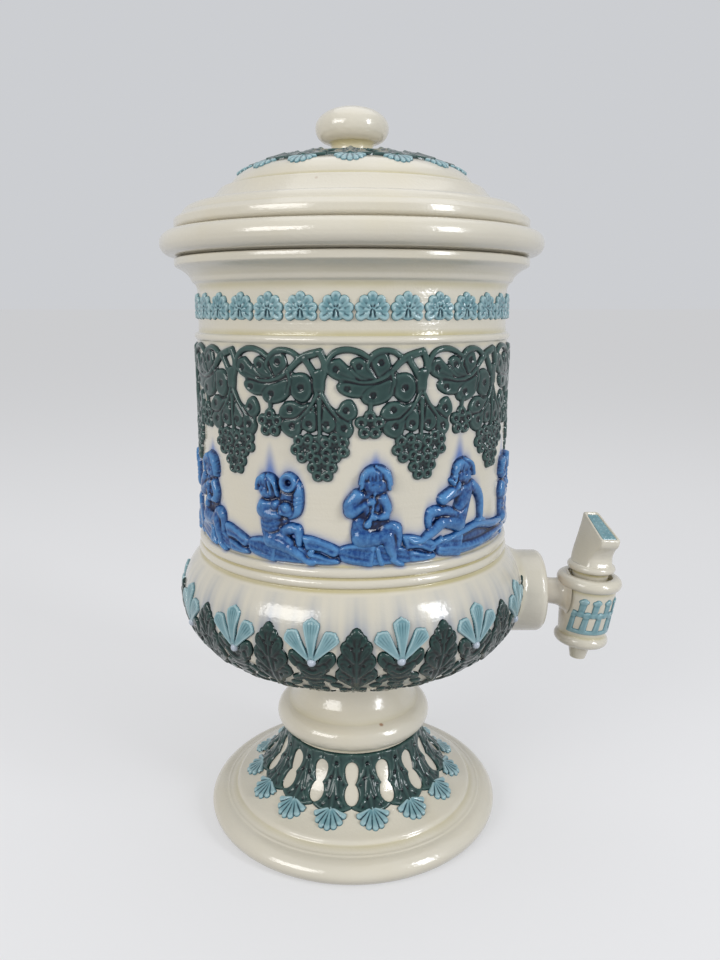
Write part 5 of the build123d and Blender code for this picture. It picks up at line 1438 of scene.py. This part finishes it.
def lattice():
    """Knots and arches in two rows round the tap's barrel; along runs up the barrel."""
    span = math.radians(130) * 15.4
    c = Clay(-span - 1, span + 1, 2, 28, 0.36)
    count = 9
    pitch = 2 * span / count
    c.add(c.limb([(-span, 15.2), (span, 15.2)], 1.6), 0.85, 0.8)
    c.add(c.limb([(-span, 4.4), (span, 4.4)], 1.4), 0.85, 0.8)
    for k in range(count + 1):
        at = -span + k * pitch
        c.add(c.limb([(at, 5.0), (at, 15.0)], [2.1, 1.7]), 0.85, 0.8)
        c.add(c.oval((at, 15.2), 2.6, 2.3), 1.0, 1.0, under=0.2)
        post = at + pitch / 2
        if k < count:
            c.add(c.limb([(post, 15.4), (post, 23.4)], [1.7, 2.2]), 0.85, 0.8)
            c.add(c.oval((post, 23.4), 2.9, 1.7), 0.95, 0.8, under=0.2)
            c.add(c.oval((post, 15.6), 2.4, 2.0), 0.95, 0.9, under=0.2)
    return c.finished()


vine_clay = vine()
figures = [horn_player(), piper(), recliner()]
figure_heads = [(-1.6, 44.2, 17.0), (2.2, 50.2, 8.0), (-0.6, 50.4, 15.0)]  # across, along, length of run
swags = [swag(*front_swag), swag(*front_swag), swag(*side_swag)]
bowl_leaf_clay = acanthus()
fan_clay = fan()


# The object

def in_boss(points):
    """Points that the boss covers."""
    return (np.hypot(points[:, 1], points[:, 2] - boss_level) < boss_radius - 1) & (points[:, 0] > 0)


def ring_turns(first, count):
    """Turns of equal pieces round a ring."""
    return [first + k * 360 / count for k in range(count)]


figure_places = ring_turns(figure_turn, frieze_count)
vine_places = ring_turns(vine_turn, frieze_count)
leaf_places = ring_turns(bowl_leaf_turn, bowl_count)
fan_places = ring_turns(bowl_leaf_turn + 180 / bowl_count, bowl_count)
collar_places = ring_turns(foot_turn, foot_count)
lid_places = ring_turns(lid_turn, lid_count)
base_places = ring_turns(0, base_leaf_count)
palmette_places = ring_turns(palmette_turn, palmette_count)

pedestal_foot()
urn()
boss()
vessel()
lid()
knob()
tap()
key()
inlay()

sprigs("palmettes", [palmette()], palmette_places, neck, pale_blue, "urn", "palmette_sprigs")
sprigs("vines", [vine_clay], vine_places, barrel_from_top, green, "urn", "vine_sprigs")
sprigs("figures", figures, figure_places, barrel, cobalt, "urn", "figure_sprigs")
sprigs("drapery", swags, vine_places, barrel, cobalt, "urn", "drapery_swags")
# The bowl's leaves, calyxes and base leaves take the darker green glaze: painted shade under the bowl.
sprigs("bowl_leaves", [bowl_leaf_clay], leaf_places, bowl, shaded_green, "urn", "bowl_leaf_sprigs", in_boss)
sprigs("fans", [fan_clay], fan_places, bowl, pale_blue, "urn", "fan_sprigs", in_boss)
sprigs("calyxes", [calyx()], fan_places, bowl, shaded_green, "urn", "calyx_sprigs", in_boss)
sprigs("pearls", [heart_pearl()], fan_places, bowl, pearl, "urn", "bowl_pearls", in_boss)
sprigs("bowl_base_leaves", [base_leaf()], base_places, bowl, shaded_green, "urn", "bowl_base_leaf_ring")
foot_leaf = collar_leaf(flare, foot_count, 4.0, 1.0)
lid_leaf = collar_leaf(dome, lid_count, 6.4, 0.66)
sprigs("foot_collar", [foot_leaf], collar_places, flare, green, "urn", "foot_leaf_collar")
sprigs("foot_shells", [foot_shell()], collar_places, flare, pale_blue, "urn", "foot_shell_sprigs")
sprigs("lid_ring", [lid_leaf], lid_places, dome, green, "lid", "lid_leaf_ring")
sprigs("lid_shells", [lid_shell()], lid_places, dome, pale_blue, "lid", "lid_shell_sprigs")
sprigs(
    "tap_lattice", [lattice()], [90], tap_cone, pale_blue, "urn", "tap_lattice_sprig",
    frame_of=barrel_frame,
)

for node, material in (
    ("carbon_filter_block", carbon),
    ("filter_stem", ebonite),
    ("wing_nut", ebonite),
    ("upper_washer", rubber),
    ("lower_washer", rubber),
    ("tap_cork", cork),
):
    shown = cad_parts[node]
    shown.data.materials.clear()
    shown.data.materials.append(material)


# Stage

def seen_plainly(nodes, links):
    """1 on the rays of the camera, of mirror reflections and through glass, else 0."""
    path = nodes.new("ShaderNodeLightPath")
    found = path.outputs["Is Camera Ray"]
    for ray in ("Is Glossy Ray", "Is Transmission Ray"):
        either = nodes.new("ShaderNodeMath")
        either.operation = "MAXIMUM"
        links.new(found, either.inputs[0])
        links.new(path.outputs[ray], either.inputs[1])
        found = either.outputs[0]
    return found


def floor():
    """A pale floor that keeps the shadows, lifted to the world's tone where it is seen."""
    bpy.ops.mesh.primitive_plane_add(size=240)
    made = bpy.context.object
    made.name = "floor"
    tone = Surface("floor_tone", roughness=0.9, specular=0.0)
    tone.colour(srgb(168, 168, 170))
    tone.shader.inputs["Emission Color"].default_value = (1, 1, 1, 1)
    glow = tone.times(seen_plainly(tone.nodes, tone.links), 0.42)
    tone.links.new(glow, tone.shader.inputs["Emission Strength"])
    made.data.materials.append(tone.material)


def studio():
    """A pale world, a little brighter where it is seen than it lights."""
    lighting, seen_extra = 0.62, 0.175
    world = bpy.data.worlds.new("studio")
    bpy.context.scene.world = world
    world.use_nodes = True
    nodes, links = world.node_tree.nodes, world.node_tree.links
    strength = nodes.new("ShaderNodeMath")
    strength.operation = "MULTIPLY_ADD"
    links.new(seen_plainly(nodes, links), strength.inputs[0])
    strength.inputs[1].default_value = seen_extra
    strength.inputs[2].default_value = lighting
    back = nodes["Background"]
    back.inputs["Color"].default_value = srgb(226, 228, 232)
    links.new(strength.outputs[0], back.inputs["Strength"])


def lamp(name, place_m, wide, tall, watts, tone):
    """A soft lamp that faces the middle of the object."""
    data = bpy.data.lights.new(name, "AREA")
    data.shape = "RECTANGLE"
    data.size, data.size_y = wide, tall
    data.energy = watts
    data.color = tone
    made = bpy.data.objects.new(name, data)
    bpy.context.scene.collection.objects.link(made)
    made.location = place_m
    made.rotation_mode = "QUATERNION"
    made.rotation_quaternion = (Vector((0, 0, 0.22)) - Vector(place_m)).to_track_quat("-Z", "Y")


def camera():
    """A camera where the photograph was taken from."""
    data = bpy.data.cameras.new("camera")
    data.lens = lens
    data.sensor_width = film_width
    made = bpy.data.objects.new("camera", data)
    bpy.context.scene.collection.objects.link(made)
    made.location = camera_place
    yaw, pitch = math.radians(camera_yaw), math.radians(camera_pitch)
    ahead = (math.sin(yaw) * math.cos(pitch), math.cos(yaw) * math.cos(pitch), -math.sin(pitch))
    made.rotation_mode = "QUATERNION"
    made.rotation_quaternion = Vector(ahead).to_track_quat("-Z", "Y")
    bpy.context.scene.camera = made


floor()
studio()
lamp("left_window", (-1.1, -1.15, 0.85), 1.0, 0.7, 15, (1.0, 0.99, 0.97))
lamp("right_window", (1.2, -0.85, 0.75), 0.3, 0.8, 12, (0.95, 0.97, 1.0))
lamp("overhead", (0.1, 0.3, 1.5), 1.2, 1.2, 3, (1, 1, 1))
camera()
bpy.context.scene.view_settings.view_transform = "Standard"
